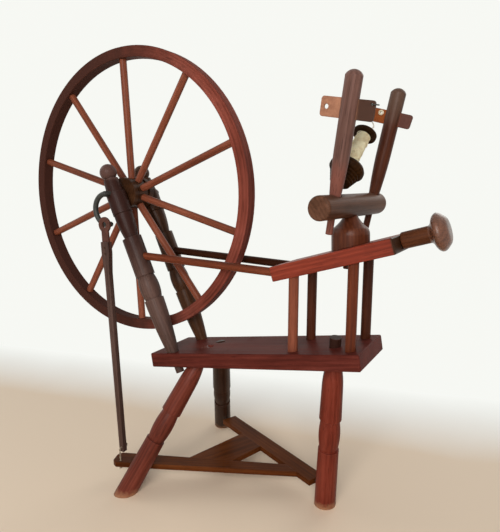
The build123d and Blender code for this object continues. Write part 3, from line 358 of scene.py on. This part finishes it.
def leather(name, dark, light, seed, fade=None):
    """Worn leather with dark edges; fade (start, end, colour) darkens it along a piece as painted
    shadow.
    """
    material, tree, shader, place = start_material(name)
    drift = stretched(tree, place, 1.0, [seed * step for step in HIDE_SEED_STEPS])
    cloud = noise_at(tree, drift, *HIDE_CLOUD)
    speck = noise_at(tree, drift, *HIDE_SPECK)
    cell = add(tree, "ShaderNodeTexVoronoi", {"Vector": drift, "Scale": HIDE_CELLS},
               feature="DISTANCE_TO_EDGE").outputs[0]
    crease = span(tree, cell, 0.0, CREASE_WIDTH)
    tone = weighted(tree, (cloud, CLOUD_SHARE), (speck, SPECK_SHARE))
    colour = ramp(tree, tone, ((HIDE_DARK_AT, dark), (HIDE_LIGHT_AT, light)))
    # Painted shadow along the piece, where fade is given
    if fade:
        colour = faded(tree, place, colour, *fade)
    creased = span(tree, crease, 0.0, 1.0, CREASE_MOST, 0.0)
    colour = mix(tree, creased, colour, shaded(dark, CREASE_SHADE))
    edge = math_node(tree, "MULTIPLY", edge_mask(tree, HIDE_EDGE)[0], HIDE_EDGE_SHARE)
    colour = mix(tree, edge, colour, shaded(dark, HIDE_EDGE_SHADE))
    tree.links.new(colour, shader.inputs["Base Color"])
    rough = noise_span(tree, tone, HIDE_SMOOTHEST, HIDE_ROUGHEST)
    tree.links.new(rough, shader.inputs["Roughness"])
    height = weighted(tree, (crease, CREASE_RELIEF), (speck, SPECK_RELIEF))
    bumped(tree, shader, height, *HIDE_BUMP)
    shader.inputs["Specular IOR Level"].default_value = HIDE_SHINE
    return material


# Metal: noise as scale, detail, roughness
METAL_CLOUD = (130.0, 5.0, 0.6)
METAL_PITS = (900.0, 2.0, 0.6)
RUST_SPOTS = (260.0, 4.0, 0.7)
METAL_DARK_AT, METAL_LIGHT_AT = 0.35, 0.68
RUST_FROM, RUST_FULL, RUST_MOST = 0.58, 0.74, 0.7
METAL_EDGE, METAL_EDGE_SHARE, METAL_EDGE_GAIN = 0.0008, 0.5, 1.6
METAL_DULLER = 0.18
METAL_CLOUD_RELIEF, METAL_PIT_RELIEF = 0.7, 0.4
METAL_BUMP = (0.3, 0.0004)  # strength, distance


def metal(name, dark, light, rust, metallic, gloss):
    """Old metal with stained spots and edges rubbed light."""
    material, tree, shader, place = start_material(name)
    cloud = noise_at(tree, place, *METAL_CLOUD)
    pit = noise_at(tree, place, *METAL_PITS)
    colour = ramp(tree, cloud, ((METAL_DARK_AT, dark), (METAL_LIGHT_AT, light)))
    spot = span(tree, noise_at(tree, place, *RUST_SPOTS), RUST_FROM, RUST_FULL, 0.0, RUST_MOST)
    colour = mix(tree, spot, colour, rust)
    edge, soft_normal = edge_mask(tree, METAL_EDGE)
    rubbed = math_node(tree, "MULTIPLY", edge, METAL_EDGE_SHARE)
    colour = mix(tree, rubbed, colour, [min(1.0, c) for c in shaded(light, METAL_EDGE_GAIN)])
    tree.links.new(colour, shader.inputs["Base Color"])
    shader.inputs["Metallic"].default_value = metallic
    rough = noise_span(tree, cloud, gloss, gloss + METAL_DULLER)
    tree.links.new(rough, shader.inputs["Roughness"])
    height = weighted(tree, (cloud, METAL_CLOUD_RELIEF), (pit, METAL_PIT_RELIEF))
    bumped(tree, shader, height, *METAL_BUMP, soft_normal)
    return material


# Spun fibre: noise as share of the fibre's scale, detail, roughness, distortion
FLEECE = (0.12, 4.0, 0.6, 0.0)
HAIR = (2.2, 3.0, 0.7, 1.2)
FLEECE_SHARE, HAIR_SHARE = 0.55, 0.45
FIBRE_SMOOTHEST, FIBRE_ROUGHEST = 0.82, 0.98
FIBRE_BUMP = (0.6, 0.0003)  # strength, distance
FIBRE_SHINE, SHEEN, SHEEN_ROUGHNESS = 0.2, 0.25, 0.5


def fibre_cloth(name, dark, light, scale, spread=(0.34, 0.66)):
    """Soft, matt spun fibre, uneven in colour; spread holds the tones of dark and light."""
    material, tree, shader, place = start_material(name)
    fleece = noise_at(tree, place, scale * FLEECE[0], *FLEECE[1:])
    hair = noise_at(tree, place, scale * HAIR[0], *HAIR[1:])
    tone = weighted(tree, (fleece, FLEECE_SHARE), (hair, HAIR_SHARE))
    colour = ramp(tree, tone, ((spread[0], dark), (spread[1], light)))
    tree.links.new(colour, shader.inputs["Base Color"])
    rough = noise_span(tree, hair, FIBRE_SMOOTHEST, FIBRE_ROUGHEST)
    tree.links.new(rough, shader.inputs["Roughness"])
    bumped(tree, shader, hair, *FIBRE_BUMP)
    shader.inputs["Specular IOR Level"].default_value = FIBRE_SHINE
    shader.inputs["Sheen Weight"].default_value = SHEEN
    shader.inputs["Sheen Roughness"].default_value = SHEEN_ROUGHNESS
    return material


def wear(piece, material):
    """The piece shows this material alone."""
    piece.data.materials.clear()
    piece.data.materials.append(material)


# Stains, as dark, middle and light of the grain; the back leg, back tie rod and back posts take
# darker copies that paint shade
RED = ((0.065, 0.0095, 0.0048), (0.138, 0.0200, 0.0100), (0.205, 0.0370, 0.0210))
BENCH = ((0.048, 0.0095, 0.0065), (0.098, 0.0195, 0.0135), (0.150, 0.0350, 0.0250))
ROSE = ((0.065, 0.0135, 0.0080), (0.138, 0.0285, 0.0165), (0.205, 0.0500, 0.0320))
TREADLE = ((0.048, 0.0120, 0.0026), (0.095, 0.0250, 0.0056), (0.145, 0.0430, 0.0120))
TOBACCO = ((0.026, 0.0100, 0.0040), (0.050, 0.0185, 0.0072), (0.082, 0.0330, 0.0140))
BOARD = ((0.105, 0.0150, 0.0070), (0.210, 0.0310, 0.0150), (0.300, 0.0540, 0.0280))
RIM = ((0.095, 0.0220, 0.0140), (0.195, 0.0470, 0.0310), (0.280, 0.0760, 0.0530))
SPOKE = ((0.100, 0.0260, 0.0120), (0.180, 0.0480, 0.0230), (0.265, 0.0800, 0.0440))
ROD = ((0.070, 0.0150, 0.0060), (0.130, 0.0290, 0.0110), (0.205, 0.0540, 0.0240))
AMBER = ((0.130, 0.0340, 0.0180), (0.220, 0.0620, 0.0320), (0.310, 0.1000, 0.0560))
# DEEP is a dark stain; on the back posts its darkness is in part painted shade
DEEP = ((0.030, 0.0070, 0.0025), (0.060, 0.0145, 0.0055), (0.095, 0.0270, 0.0120))
# The rods' stain darkened with painted shade, for the back tie rod
BACK_ROD_SHADED_STAIN = ((0.015, 0.0036, 0.0010), (0.030, 0.0072, 0.0020), (0.050, 0.0140, 0.0050))
PLUM = ((0.065, 0.0300, 0.0230), (0.120, 0.0580, 0.0450), (0.180, 0.0900, 0.0720))
GREYED = ((0.040, 0.0210, 0.0160), (0.078, 0.0420, 0.0330), (0.118, 0.0660, 0.0530))
UMBER = ((0.036, 0.0095, 0.0028), (0.072, 0.0200, 0.0062), (0.112, 0.0350, 0.0130))
CHESTNUT = ((0.044, 0.0110, 0.0045), (0.088, 0.0225, 0.0092), (0.140, 0.0400, 0.0180))
KNOB = ((0.090, 0.0330, 0.0180), (0.160, 0.0630, 0.0350), (0.230, 0.1000, 0.0600))
BAR = ((0.060, 0.0260, 0.0145), (0.112, 0.0490, 0.0285), (0.165, 0.0780, 0.0480))
# The legs' stain darkened with painted shade, for the back leg standing in shadow
BACK_LEG_SHADED_STAIN = ((0.018, 0.0070, 0.0036), (0.036, 0.0142, 0.0076), (0.058, 0.0250, 0.0145))
BLACK = ((0.012, 0.0045, 0.0012), (0.026, 0.0090, 0.0020), (0.046, 0.0180, 0.0055))

# Places and directions on the object
BOBBIN_AXIS = Vector((0.194106, 0.618408, 0.761508))
BOBBIN_MIDDLE = Vector((0.263515, -0.0518, 0.531968))
SCREW_AXIS = (0.96593, 0.0, 0.25882)
WHEEL_MIDDLE = (-0.147639, -0.0308, 0.5088)
# Painted shade on the tension board's end face: where it starts and where it is full
BOARD_DARKENS, BOARD_DARK = 0.4315, 0.4340  # along the screw's direction, near the board's end

# Changes of colour along a piece, as start, end and the colour there; on the board's end and the
# leg's top this is painted shade
RIM_FADE = ((0.085, 0, 0.5), (-0.21, 0, 0.5), (0.056, 0.0205, 0.0145))
UPRIGHT_FADE = ((-0.15, 0, 0.33), (-0.15, 0, 0.47), (0.030, 0.0095, 0.0065))
BALL_FADE = ((-0.15, 0, 0.530), (-0.15, 0, 0.538), (0.095, 0.0460, 0.0370))
# Painted shade: the board's end face darkened as if turned away from the light
BOARD_END_PAINTED_SHADE = (
    Vector(SCREW_AXIS) * BOARD_DARKENS, Vector(SCREW_AXIS) * BOARD_DARK, (0.034, 0.0125, 0.0042),
)
MAIDEN_FADE = ((0.275, -0.09, 0.555), (0.265, -0.09, 0.515), (0.190, 0.0660, 0.0470))
BACK_TOP_FADE = ((0.29, 0.05, 0.585), (0.30, 0.05, 0.635), (0.100, 0.0540, 0.0370))
# Painted shade: the top end of the right leg darkened where little light falls
LEG_TOP_PAINTED_SHADE = ((0.21, -0.03, 0.270), (0.21, -0.03, 0.276), (0.034, 0.0130, 0.0085))


def long_axis(piece):
    """Direction of the longest spread of a piece's points, and the middle of its box."""
    points = np.array([v.co for v in piece.data.vertices], float)
    middle = (points.min(0) + points.max(0)) / 2
    spread = np.linalg.svd(points - points.mean(0), full_matrices=False)[2][0]
    return Vector(spread), Vector(middle)


SPOKES = 10
LOOKS = {
    "bench": dict(stain=BENCH, gloss=0.46, shine=0.03),
    "leg_right": dict(stain=RED, lathe=0.5, foot_wear=0.8, fades=(LEG_TOP_PAINTED_SHADE,)),
    "leg_front": dict(stain=ROSE, lathe=0.5, foot_wear=0.8),
    # Painted shade: the back leg's stain is a darker copy of the other legs' stain
    "leg_back": dict(stain=BACK_LEG_SHADED_STAIN, lathe=0.5, foot_wear=0.5, shine=0.08),
    "upright_front": dict(stain=GREYED, lathe=0.5, fades=(UPRIGHT_FADE, BALL_FADE)),
    "upright_back": dict(stain=TOBACCO, lathe=0.5),
    "tie_rod_front": dict(stain=ROD, lathe=0.2),
    # Painted shade: the back tie rod is darker than the front tie rod
    "tie_rod_back": dict(stain=BACK_ROD_SHADED_STAIN, lathe=0.2, shine=0.06),
    "post_front_left": dict(stain=AMBER, lathe=0.2),
    "post_front_right": dict(stain=ROD, lathe=0.2),
    # Painted shade: the back posts take a darker stain than their front twins
    "post_back_left": dict(stain=DEEP, lathe=0.2),
    "post_back_right": dict(stain=DEEP, lathe=0.2),
    "tension_board": dict(stain=BOARD, gloss=0.44, shine=0.12, fades=(BOARD_END_PAINTED_SHADE,)),
    "wheel_rim": dict(
        stain=RIM, gloss=0.54, shine=0.02, ring_centre=WHEEL_MIDDLE, fades=(RIM_FADE,),
    ),
    "wheel_hub": dict(stain=TOBACCO, axis=(0, 1, 0), lathe=0.5),
    "footman_bar": dict(stain=GREYED),
    "footman_pins": dict(stain=BLACK),
    "treadle_bar": dict(stain=TREADLE, shine=0.03),
    "treadle_lever": dict(stain=TREADLE, shine=0.03),
    "treadle_footboard": dict(stain=TREADLE, shine=0.03),
    "tension_screw": dict(stain=UMBER, axis=SCREW_AXIS, lathe=0.4),
    "tension_knob": dict(stain=KNOB, axis=SCREW_AXIS, lathe=0.3, gloss=0.26, shine=0.34),
    "moa_bar": dict(stain=BAR, lathe=0.4, shine=0.05),
    "moa_collar": dict(stain=CHESTNUT, axis=(0, 0, 1), lathe=0.3, gloss=0.30, shine=0.12),
    "maiden_front": dict(stain=PLUM, lathe=0.4, fades=(MAIDEN_FADE,)),
    "maiden_back": dict(stain=DEEP, lathe=0.4, fades=(BACK_TOP_FADE,)),
    "bobbin": dict(stain=BLACK, axis=BOBBIN_AXIS, lathe=0.4, gloss=0.42, shine=0.04),
}
for spoke in range(1, SPOKES + 1):
    LOOKS[f"spoke_{spoke:02d}"] = dict(stain=SPOKE, lathe=0.2)

for seed, (node_name, look) in enumerate(LOOKS.items(), start=1):
    piece = nodes[node_name]
    found_axis, middle = long_axis(piece)
    settings = dict(look)
    axis = settings.pop("axis", found_axis)
    wear(piece, wood(f"wood_{node_name}", axis, middle, seed=seed, **settings))

iron = metal("blackened_iron", dark=(0.016, 0.017, 0.014), light=(0.048, 0.050, 0.043),
             rust=(0.060, 0.032, 0.018), metallic=0.35, gloss=0.48)
brass = metal("dull_brass", dark=(0.40, 0.32, 0.20), light=(0.66, 0.60, 0.48),
              rust=(0.22, 0.15, 0.08), metallic=0.9, gloss=0.34)
for node_name in ("axle_crank", "leather_ring", "treadle_pin_right", "treadle_pin_back"):
    wear(nodes[node_name], iron)
wear(nodes["eyelet"], brass)


# Mesh helpers
ROUTE_STEPS = 48  # points to a span of a route
TIP_BULGE = 0.6  # height of a tube's rounded end, as a share of its radius
STRAND_SWELL = 1.08  # strands pressed together are a little thicker than round ones that touch
KNOT_STEPS = 72
KNOT_DEPTH = 1.5
KNOT_REACH = 3.0  # outer reach of the plain knot curve
HIDE_VOXEL, HIDE_ROUNDS, HIDE_SMOOTHING = 0.0005, 4, 0.5


def mesh_piece(name, vertices, faces):
    """A smooth piece from points and faces."""
    mesh = bpy.data.meshes.new(name)
    mesh.from_pydata([tuple(v) for v in vertices], [], faces)
    mesh.validate()
    mesh.polygons.foreach_set("use_smooth", [True] * len(mesh.polygons))
    piece = bpy.data.objects.new(name, mesh)
    scene.collection.objects.link(piece)
    return piece


def nurbs_line(points):
    """Points read from a smooth NURBS spline that the route's points steer."""
    curve = bpy.data.curves.new("route", "CURVE")
    curve.dimensions = "3D"
    curve.resolution_u = ROUTE_STEPS
    spline = curve.splines.new("NURBS")
    spline.points.add(len(points) - 1)
    for control, point in zip(spline.points, points):
        control.co = (*point, 1)
    spline.order_u = 3
    spline.use_endpoint_u = True
    holder = bpy.data.objects.new("route", curve)
    mesh = bpy.data.meshes.new_from_object(holder)
    line = [v.co.copy() for v in mesh.vertices]
    bpy.data.objects.remove(holder)
    bpy.data.curves.remove(curve)
    bpy.data.meshes.remove(mesh)
    return line


def frames(line):
    """A tangent and two side directions at each point, carried along without twist."""
    last = len(line) - 1
    tangents = []
    for i in range(len(line)):
        tangents.append((line[min(i + 1, last)] - line[max(i - 1, 0)]).normalized())
    side = tangents[0].orthogonal().normalized()
    made = []
    for i, tangent in enumerate(tangents):
        if i:
            side = tangents[i - 1].rotation_difference(tangent) @ side
        side = (side - tangent * side.dot(tangent)).normalized()
        made.append((tangent, side, tangent.cross(side)))
    return made


def tube(vertices, faces, line, radius, sides):
    """Adds a round tube with rounded ends along a line."""
    begin = len(vertices)
    last = len(line) - 1
    rows = frames(line)
    for point, (tangent, side, other) in zip(line, rows):
        for k in range(sides):
            turn = 2 * math.pi * k / sides
            across = side * (radius * math.cos(turn))
            vertices.append(point + across + other * (radius * math.sin(turn)))
    for i in range(last):
        for k in range(sides):
            a, b = begin + i * sides + k, begin + i * sides + (k + 1) % sides
            faces.append((a, b, b + sides, a + sides))
    for row, way in ((0, -1), (last, 1)):
        tip = len(vertices)
        vertices.append(line[row] + rows[row][0] * (way * radius * TIP_BULGE))
        base = begin + row * sides
        for k in range(sides):
            a, b = base + k, base + (k + 1) % sides
            faces.append((a, b, tip) if way > 0 else (b, a, tip))


def twisted(vertices, faces, line, radius, strands, pitch, sides):
    """Adds strands twisted round a line to make a cord of that radius."""
    share = 1 / (1 + 1 / math.sin(math.pi / strands))
    strand_radius = radius * share * STRAND_SWELL
    offset = radius * (1 - share)
    travelled = [0.0]
    for i in range(1, len(line)):
        travelled.append(travelled[-1] + (line[i] - line[i - 1]).length)
    rows = frames(line)
    for s in range(strands):
        path = []
        for point, (tangent, side, other), far in zip(line, rows, travelled):
            turn = 2 * math.pi * (s / strands + far / pitch)
            across = side * (offset * math.cos(turn))
            path.append(point + across + other * (offset * math.sin(turn)))
        tube(vertices, faces, path, strand_radius, sides)


def cord_piece(name, line, radius, strands, pitch, sides=7):
    """A twisted cord along a line."""
    vertices, faces = [], []
    twisted(vertices, faces, line, radius, strands, pitch, sides)
    return mesh_piece(name, vertices, faces)


def knot_line(middle, axis, reach):
    """Closed overhand knot of that outer reach, lying across axis."""
    turn = Vector((0, 0, 1)).rotation_difference(Vector(axis).normalized())
    line = []
    for i in range(KNOT_STEPS):
        t = 2 * math.pi * i / (KNOT_STEPS - 1)
        shape = Vector((
            math.sin(t) + 2 * math.sin(2 * t),
            math.cos(t) - 2 * math.cos(2 * t),
            -KNOT_DEPTH * math.sin(3 * t),
        ))
        line.append(Vector(middle) + turn @ (shape * (reach / KNOT_REACH)))
    return line


def knot(name, middle, axis, knot_radius, cord_radius, strands, pitch):
    """A tight knot that fills a ball of knot_radius."""
    line = knot_line(middle, axis, knot_radius - cord_radius)
    return cord_piece(name, line, cord_radius, strands, pitch)


def soft_copy(node_name, name):
    """A finer copy of a soft solid with its edges rounded off, to stand for it."""
    piece = bpy.data.objects.new(name, nodes[node_name].data.copy())
    scene.collection.objects.link(piece)
    remesh = piece.modifiers.new("fine", "REMESH")
    remesh.mode = "VOXEL"
    remesh.voxel_size = HIDE_VOXEL
    smooth = piece.modifiers.new("round", "SMOOTH")
    smooth.iterations = HIDE_ROUNDS
    smooth.factor = HIDE_SMOOTHING
    view = bpy.context.evaluated_depsgraph_get()
    final = bpy.data.meshes.new_from_object(piece.evaluated_get(view))
    piece.modifiers.clear()
    piece.data = final
    final.name = name
    final.polygons.foreach_set("use_smooth", [True] * len(final.polygons))
    return piece


# Leather: bearings in the maidens and the eye on the footman
# Painted shadow: each leather darkens to the right of its maiden, where the maiden's shadow falls
FRONT_LEATHER_PAINTED_SHADOW = ((0.286, -0.098, 0.603), (0.297, -0.099, 0.601), (0.058, 0.026, 0.017))
BACK_LEATHER_PAINTED_SHADOW = ((0.298, 0.049, 0.606), (0.312, 0.047, 0.602), (0.110, 0.044, 0.034))
pink_leather = leather("pink_leather", dark=(0.24, 0.100, 0.058), light=(0.47, 0.220, 0.130),
                       seed=1.7, fade=FRONT_LEATHER_PAINTED_SHADOW)
tan_leather = leather("tan_leather", dark=(0.175, 0.042, 0.008), light=(0.35, 0.085, 0.016),
                      seed=3.1, fade=BACK_LEATHER_PAINTED_SHADOW)
eye_leather = leather("eye_leather", dark=(0.056, 0.021, 0.0145), light=(0.120, 0.045, 0.031),
                      seed=5.3)
for node_name, body, material, slot in (
    ("leather_front", "front_maiden", pink_leather, "leather"),
    ("leather_back", "back_maiden", tan_leather, "tan_leather"),
    ("footman_eye", "footman", eye_leather, "leather"),
):
    piece = soft_copy(node_name, f"{node_name}_hide")
    wear(piece, material)
    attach(piece, body)
    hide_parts(node_name)

# Wool on the bobbin: a soft core under crossing layers of two-ply yarn
wool = fibre_cloth("spun_wool", dark=(0.74, 0.58, 0.33), light=(0.98, 0.91, 0.67),
                   scale=900.0, spread=(0.38, 0.53))
twine = fibre_cloth("cotton_twine", dark=(0.60, 0.54, 0.42), light=(0.92, 0.88, 0.78),
                    scale=1100.0)
YARN_LOW, YARN_HIGH = 0.0058, 0.0612
BARREL, CORE, YARN = 0.0070, 0.0013, 0.00075
CORE_ROWS, CORE_SIDES = 40, 48
LUMP, LUMPS_ROUND, LUMPS_ALONG = 0.00018, 2, 260
LOWEST, HIGHEST = YARN_LOW + YARN, YARN_HIGH - YARN
FIRST_LAYER = BARREL + CORE + YARN * 0.55
LAYER_TURN = 0.9
PLY_RADIUS, PLY_STRANDS, PLY_PITCH, PLY_SIDES = YARN * 0.86, 2, 0.0042, 6
WINDING_STEPS = 36  # points to a turn
STRAYS, SPARE_STRAYS = 3, 8  # random draws to a turn, and some over
STRAY_OUT = 0.5  # a stray turn also lifts, by this share
bobbin_side = Vector((0.0, 0.776272, -0.630398))
bobbin_other = BOBBIN_AXIS.cross(bobbin_side).normalized()


def on_bobbin(far, turn, height):
    """The point at that distance from the bobbin's axis, angle round it and height along it."""
    return (BOBBIN_MIDDLE + BOBBIN_AXIS * height
            + bobbin_side * (far * math.cos(turn)) + bobbin_other * (far * math.sin(turn)))


def wool_line(turns, start, begin, end, far, wander, seed):
    """A helix on the bobbin from height begin to end that wanders like hand-wound yarn."""
    chance = random.Random(seed)
    lift = [chance.uniform(-1, 1) for _ in range(turns * STRAYS + SPARE_STRAYS)]
    stop = start + 2 * math.pi * turns
    line = []
    steps = turns * WINDING_STEPS
    for i in range(steps + 1):
        t = i / steps
        turn = start + (stop - start) * t
        place = t * (len(lift) - 2)
        k = int(place)
        s = place - k
        s = s * s * (3 - 2 * s)
        stray = (lift[k] * (1 - s) + lift[k + 1] * s) * wander
        height = min(max(begin + (end - begin) * t + stray, LOWEST), HIGHEST)
        line.append(on_bobbin(far + stray * STRAY_OUT, turn, height))
    return line


vertices, faces = [], []
for i in range(CORE_ROWS + 1):
    height = YARN_LOW + (YARN_HIGH - YARN_LOW) * i / CORE_ROWS
    for k in range(CORE_SIDES):
        turn = 2 * math.pi * k / CORE_SIDES
        spot = (math.cos(turn) * LUMPS_ROUND, math.sin(turn) * LUMPS_ROUND, height * LUMPS_ALONG)
        lump = noise.noise(Vector(spot)) * LUMP
        vertices.append(on_bobbin(BARREL + CORE + lump, turn, height))
for i in range(CORE_ROWS):
    for k in range(CORE_SIDES):
        a, b = i * CORE_SIDES + k, i * CORE_SIDES + (k + 1) % CORE_SIDES
        faces.append((a, b, b + CORE_SIDES, a + CORE_SIDES))
for layer, (turns, begin, end, far, wander, seed) in enumerate((
    (34, LOWEST, HIGHEST, FIRST_LAYER, 0.00025, 11),
    (13, HIGHEST, LOWEST, FIRST_LAYER + YARN * 1.0, 0.0011, 23),
    (17, LOWEST, HIGHEST, FIRST_LAYER + YARN * 1.5, 0.0014, 37),
)):
    line = wool_line(turns, LAYER_TURN * layer, begin, end, far, wander, seed)
    twisted(vertices, faces, line, PLY_RADIUS, PLY_STRANDS, PLY_PITCH, PLY_SIDES)
winding = mesh_piece("wool_winding", vertices, faces)
wear(winding, wool)
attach(winding, "bobbin")
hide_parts("yarn_core", "yarn_winding")

# Cord that carries the bobbin, knotted under the whorl and behind the back leather
CORD_ROUTE = (
    (0.258536, -0.067665, 0.512432),
    (0.277724, -0.006533, 0.587711),
    (0.259913, 0.037242, 0.614011),
    (0.262007, 0.058993, 0.612296),
)
CORD_SLACK = (
    (0.2862, -0.0013, 0.5887),
    (0.2838, -0.0012, 0.5976),
)
CORD_RADIUS, CORD_STRANDS, CORD_PITCH = 0.0009, 3, 0.0065
LOW_KNOT_RADIUS, TIE_KNOT_RADIUS = 0.0042, 0.0024
TIE_KNOT_AXIS = (-0.09555, -0.99234, 0.07828)
cord_line = nurbs_line(CORD_ROUTE[:2] + CORD_SLACK + CORD_ROUTE[2:])
bobbin_cord = cord_piece("bobbin_twine", cord_line, CORD_RADIUS, CORD_STRANDS, CORD_PITCH)
low_knot = knot("bobbin_twine_low_knot", CORD_ROUTE[0], BOBBIN_AXIS, LOW_KNOT_RADIUS,
                CORD_RADIUS, CORD_STRANDS, CORD_PITCH)
tie_knot = knot("bobbin_twine_tie_knot", CORD_ROUTE[-1], TIE_KNOT_AXIS, TIE_KNOT_RADIUS,
                CORD_RADIUS, CORD_STRANDS, CORD_PITCH)
for piece in (bobbin_cord, low_knot, tie_knot):
    wear(piece, twine)
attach(low_knot, "mother_of_all")
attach(tie_knot, "back_maiden")
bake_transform(bobbin_cord)
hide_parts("bobbin_cord")
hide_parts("bobbin_cord")
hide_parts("bobbin_cord")

# Leather lace between the footman and the treadle
THONG_ROUTE = (
    (-0.132238, -0.104587, 0.060),
    (-0.132238, -0.116100, 0.060),
    (-0.132238, -0.120100, 0.060),
    (-0.132238, -0.120100, 0.052),
    (-0.132238, -0.120100, 0.024387),
)
THONG_RADIUS, THONG_STRANDS, THONG_PITCH, THONG_SIDES = 0.0015, 2, 0.014, 9
THONG_KNOT_RADIUS = 0.0034
lace = leather("pale_lace", dark=(0.26, 0.19, 0.13), light=(0.50, 0.40, 0.29), seed=7.9)
thong_line = nurbs_line(THONG_ROUTE)
thong = cord_piece("footman_lace", thong_line, THONG_RADIUS, THONG_STRANDS, THONG_PITCH,
                   THONG_SIDES)
back_knot = knot("footman_lace_back_knot", THONG_ROUTE[0], (0, 1, 0), THONG_KNOT_RADIUS,
                 THONG_RADIUS, THONG_STRANDS, THONG_PITCH)
foot_knot = knot("footman_lace_low_knot", THONG_ROUTE[-1], (0, 0, 1), THONG_KNOT_RADIUS,
                 THONG_RADIUS, THONG_STRANDS, THONG_PITCH)
for piece in (thong, back_knot, foot_knot):
    wear(piece, lace)
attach(back_knot, "footman")
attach(foot_knot, "treadle")
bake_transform(thong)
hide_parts("footman_thong")
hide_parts("footman_thong")
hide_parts("footman_thong")


def seen_rays(tree):
    """1 for rays from the camera, a reflection or through glass, 0 for light on a surface."""
    rays = add(tree, "ShaderNodeLightPath").outputs
    bounced = math_node(tree, "MAXIMUM", rays["Is Glossy Ray"], rays["Is Transmission Ray"])
    return math_node(tree, "MAXIMUM", rays["Is Camera Ray"], bounced)


# Plain pale floor that fades into a white surround, sooner behind the object
PALE = (0.93, 0.94, 0.90, 1)
FLOOR_REACH = 40
FLOOR_BACK = (-0.165, 0.986, 0)
FLOOR_WARM, FLOOR_WHITE = (0.95, 0.77, 0.58), (0.92, 0.92, 0.88)
FLOOR_NOISE = (6.0, 4.0)  # scale, detail
FLOOR_RAGGED = 0.008
AROUND_FROM, AROUND_FULL = 0.75, 1.7
BEHIND_FROM, BEHIND_FULL = 0.16, 0.46
FLOOR_ROUGHNESS = 0.6
floor_mesh = bpy.data.meshes.new("floor")
corners = [(x * FLOOR_REACH, y * FLOOR_REACH, 0) for x, y in ((-1, -1), (1, -1), (1, 1), (-1, 1))]
floor_mesh.from_pydata(corners, [], [(0, 1, 2, 3)])
floor = bpy.data.objects.new("floor", floor_mesh)
scene.collection.objects.link(floor)
material, tree, shader, place = start_material("pale_floor")
around = add(tree, "ShaderNodeVectorMath", {0: place}, operation="LENGTH").outputs["Value"]
behind = dot(tree, place, FLOOR_BACK)
speckle = ragged(tree, place, *FLOOR_NOISE, FLOOR_RAGGED)
fade_around = span(tree, math_node(tree, "ADD", around, speckle), AROUND_FROM, AROUND_FULL)
fade_behind = span(tree, math_node(tree, "ADD", behind, speckle), BEHIND_FROM, BEHIND_FULL)
fade = math_node(tree, "MAXIMUM", fade_around, fade_behind)
tree.links.new(mix(tree, fade, FLOOR_WARM, FLOOR_WHITE), shader.inputs["Base Color"])
shader.inputs["Roughness"].default_value = FLOOR_ROUGHNESS
glow = add(tree, "ShaderNodeEmission", {0: PALE, 1: 1.0}).outputs[0]
show = math_node(tree, "MULTIPLY", seen_rays(tree), fade)
surface = add(tree, "ShaderNodeMixShader", {0: show, 1: shader.outputs[0], 2: glow}).outputs[0]
tree.links.new(surface, tree.nodes["Material Output"].inputs["Surface"])
wear(floor, material)

# World: soft even light, and a pale surround where the camera or a reflection sees it
DAYLIGHT, DAYLIGHT_STRENGTH = (0.97, 0.98, 1.0, 1), 0.20
world = bpy.data.worlds.new("surround")
scene.world = world
world.use_nodes = True
tree = world.node_tree
tree.nodes.clear()
seen = seen_rays(tree)
pale = add(tree, "ShaderNodeBackground", {0: PALE, 1: 1.0}).outputs[0]
lit = add(tree, "ShaderNodeBackground", {0: DAYLIGHT, 1: DAYLIGHT_STRENGTH}).outputs[0]
both = add(tree, "ShaderNodeMixShader", {0: seen, 1: lit, 2: pale}).outputs[0]
add(tree, "ShaderNodeOutputWorld", {0: both})


def soft_lamp(name, place, aim, size, power, colour):
    """A broad lamp at place that shines at aim."""
    lamp = bpy.data.lights.new(name, "AREA")
    lamp.shape = "RECTANGLE"
    lamp.size, lamp.size_y = size
    lamp.energy = power
    lamp.color = colour
    holder = bpy.data.objects.new(name, lamp)
    scene.collection.objects.link(holder)
    holder.location = place
    holder.rotation_euler = (Vector(aim) - Vector(place)).to_track_quat("-Z", "Y").to_euler()


soft_lamp("window", place=(0.95, -2.45, 1.35), aim=(0, 0, 0.4), size=(1.7, 1.5),
          power=64, colour=(1.0, 0.99, 0.97))
soft_lamp("room", place=(0.6, 2.4, 1.6), aim=(0, 0, 0.35), size=(1.6, 1.4),
          power=12, colour=(1.0, 0.97, 0.93))
soft_lamp("doorway", place=(-2.4, -0.3, 1.7), aim=(0, 0, 0.35), size=(1.6, 1.6),
          power=13, colour=(1.0, 1.0, 1.0))
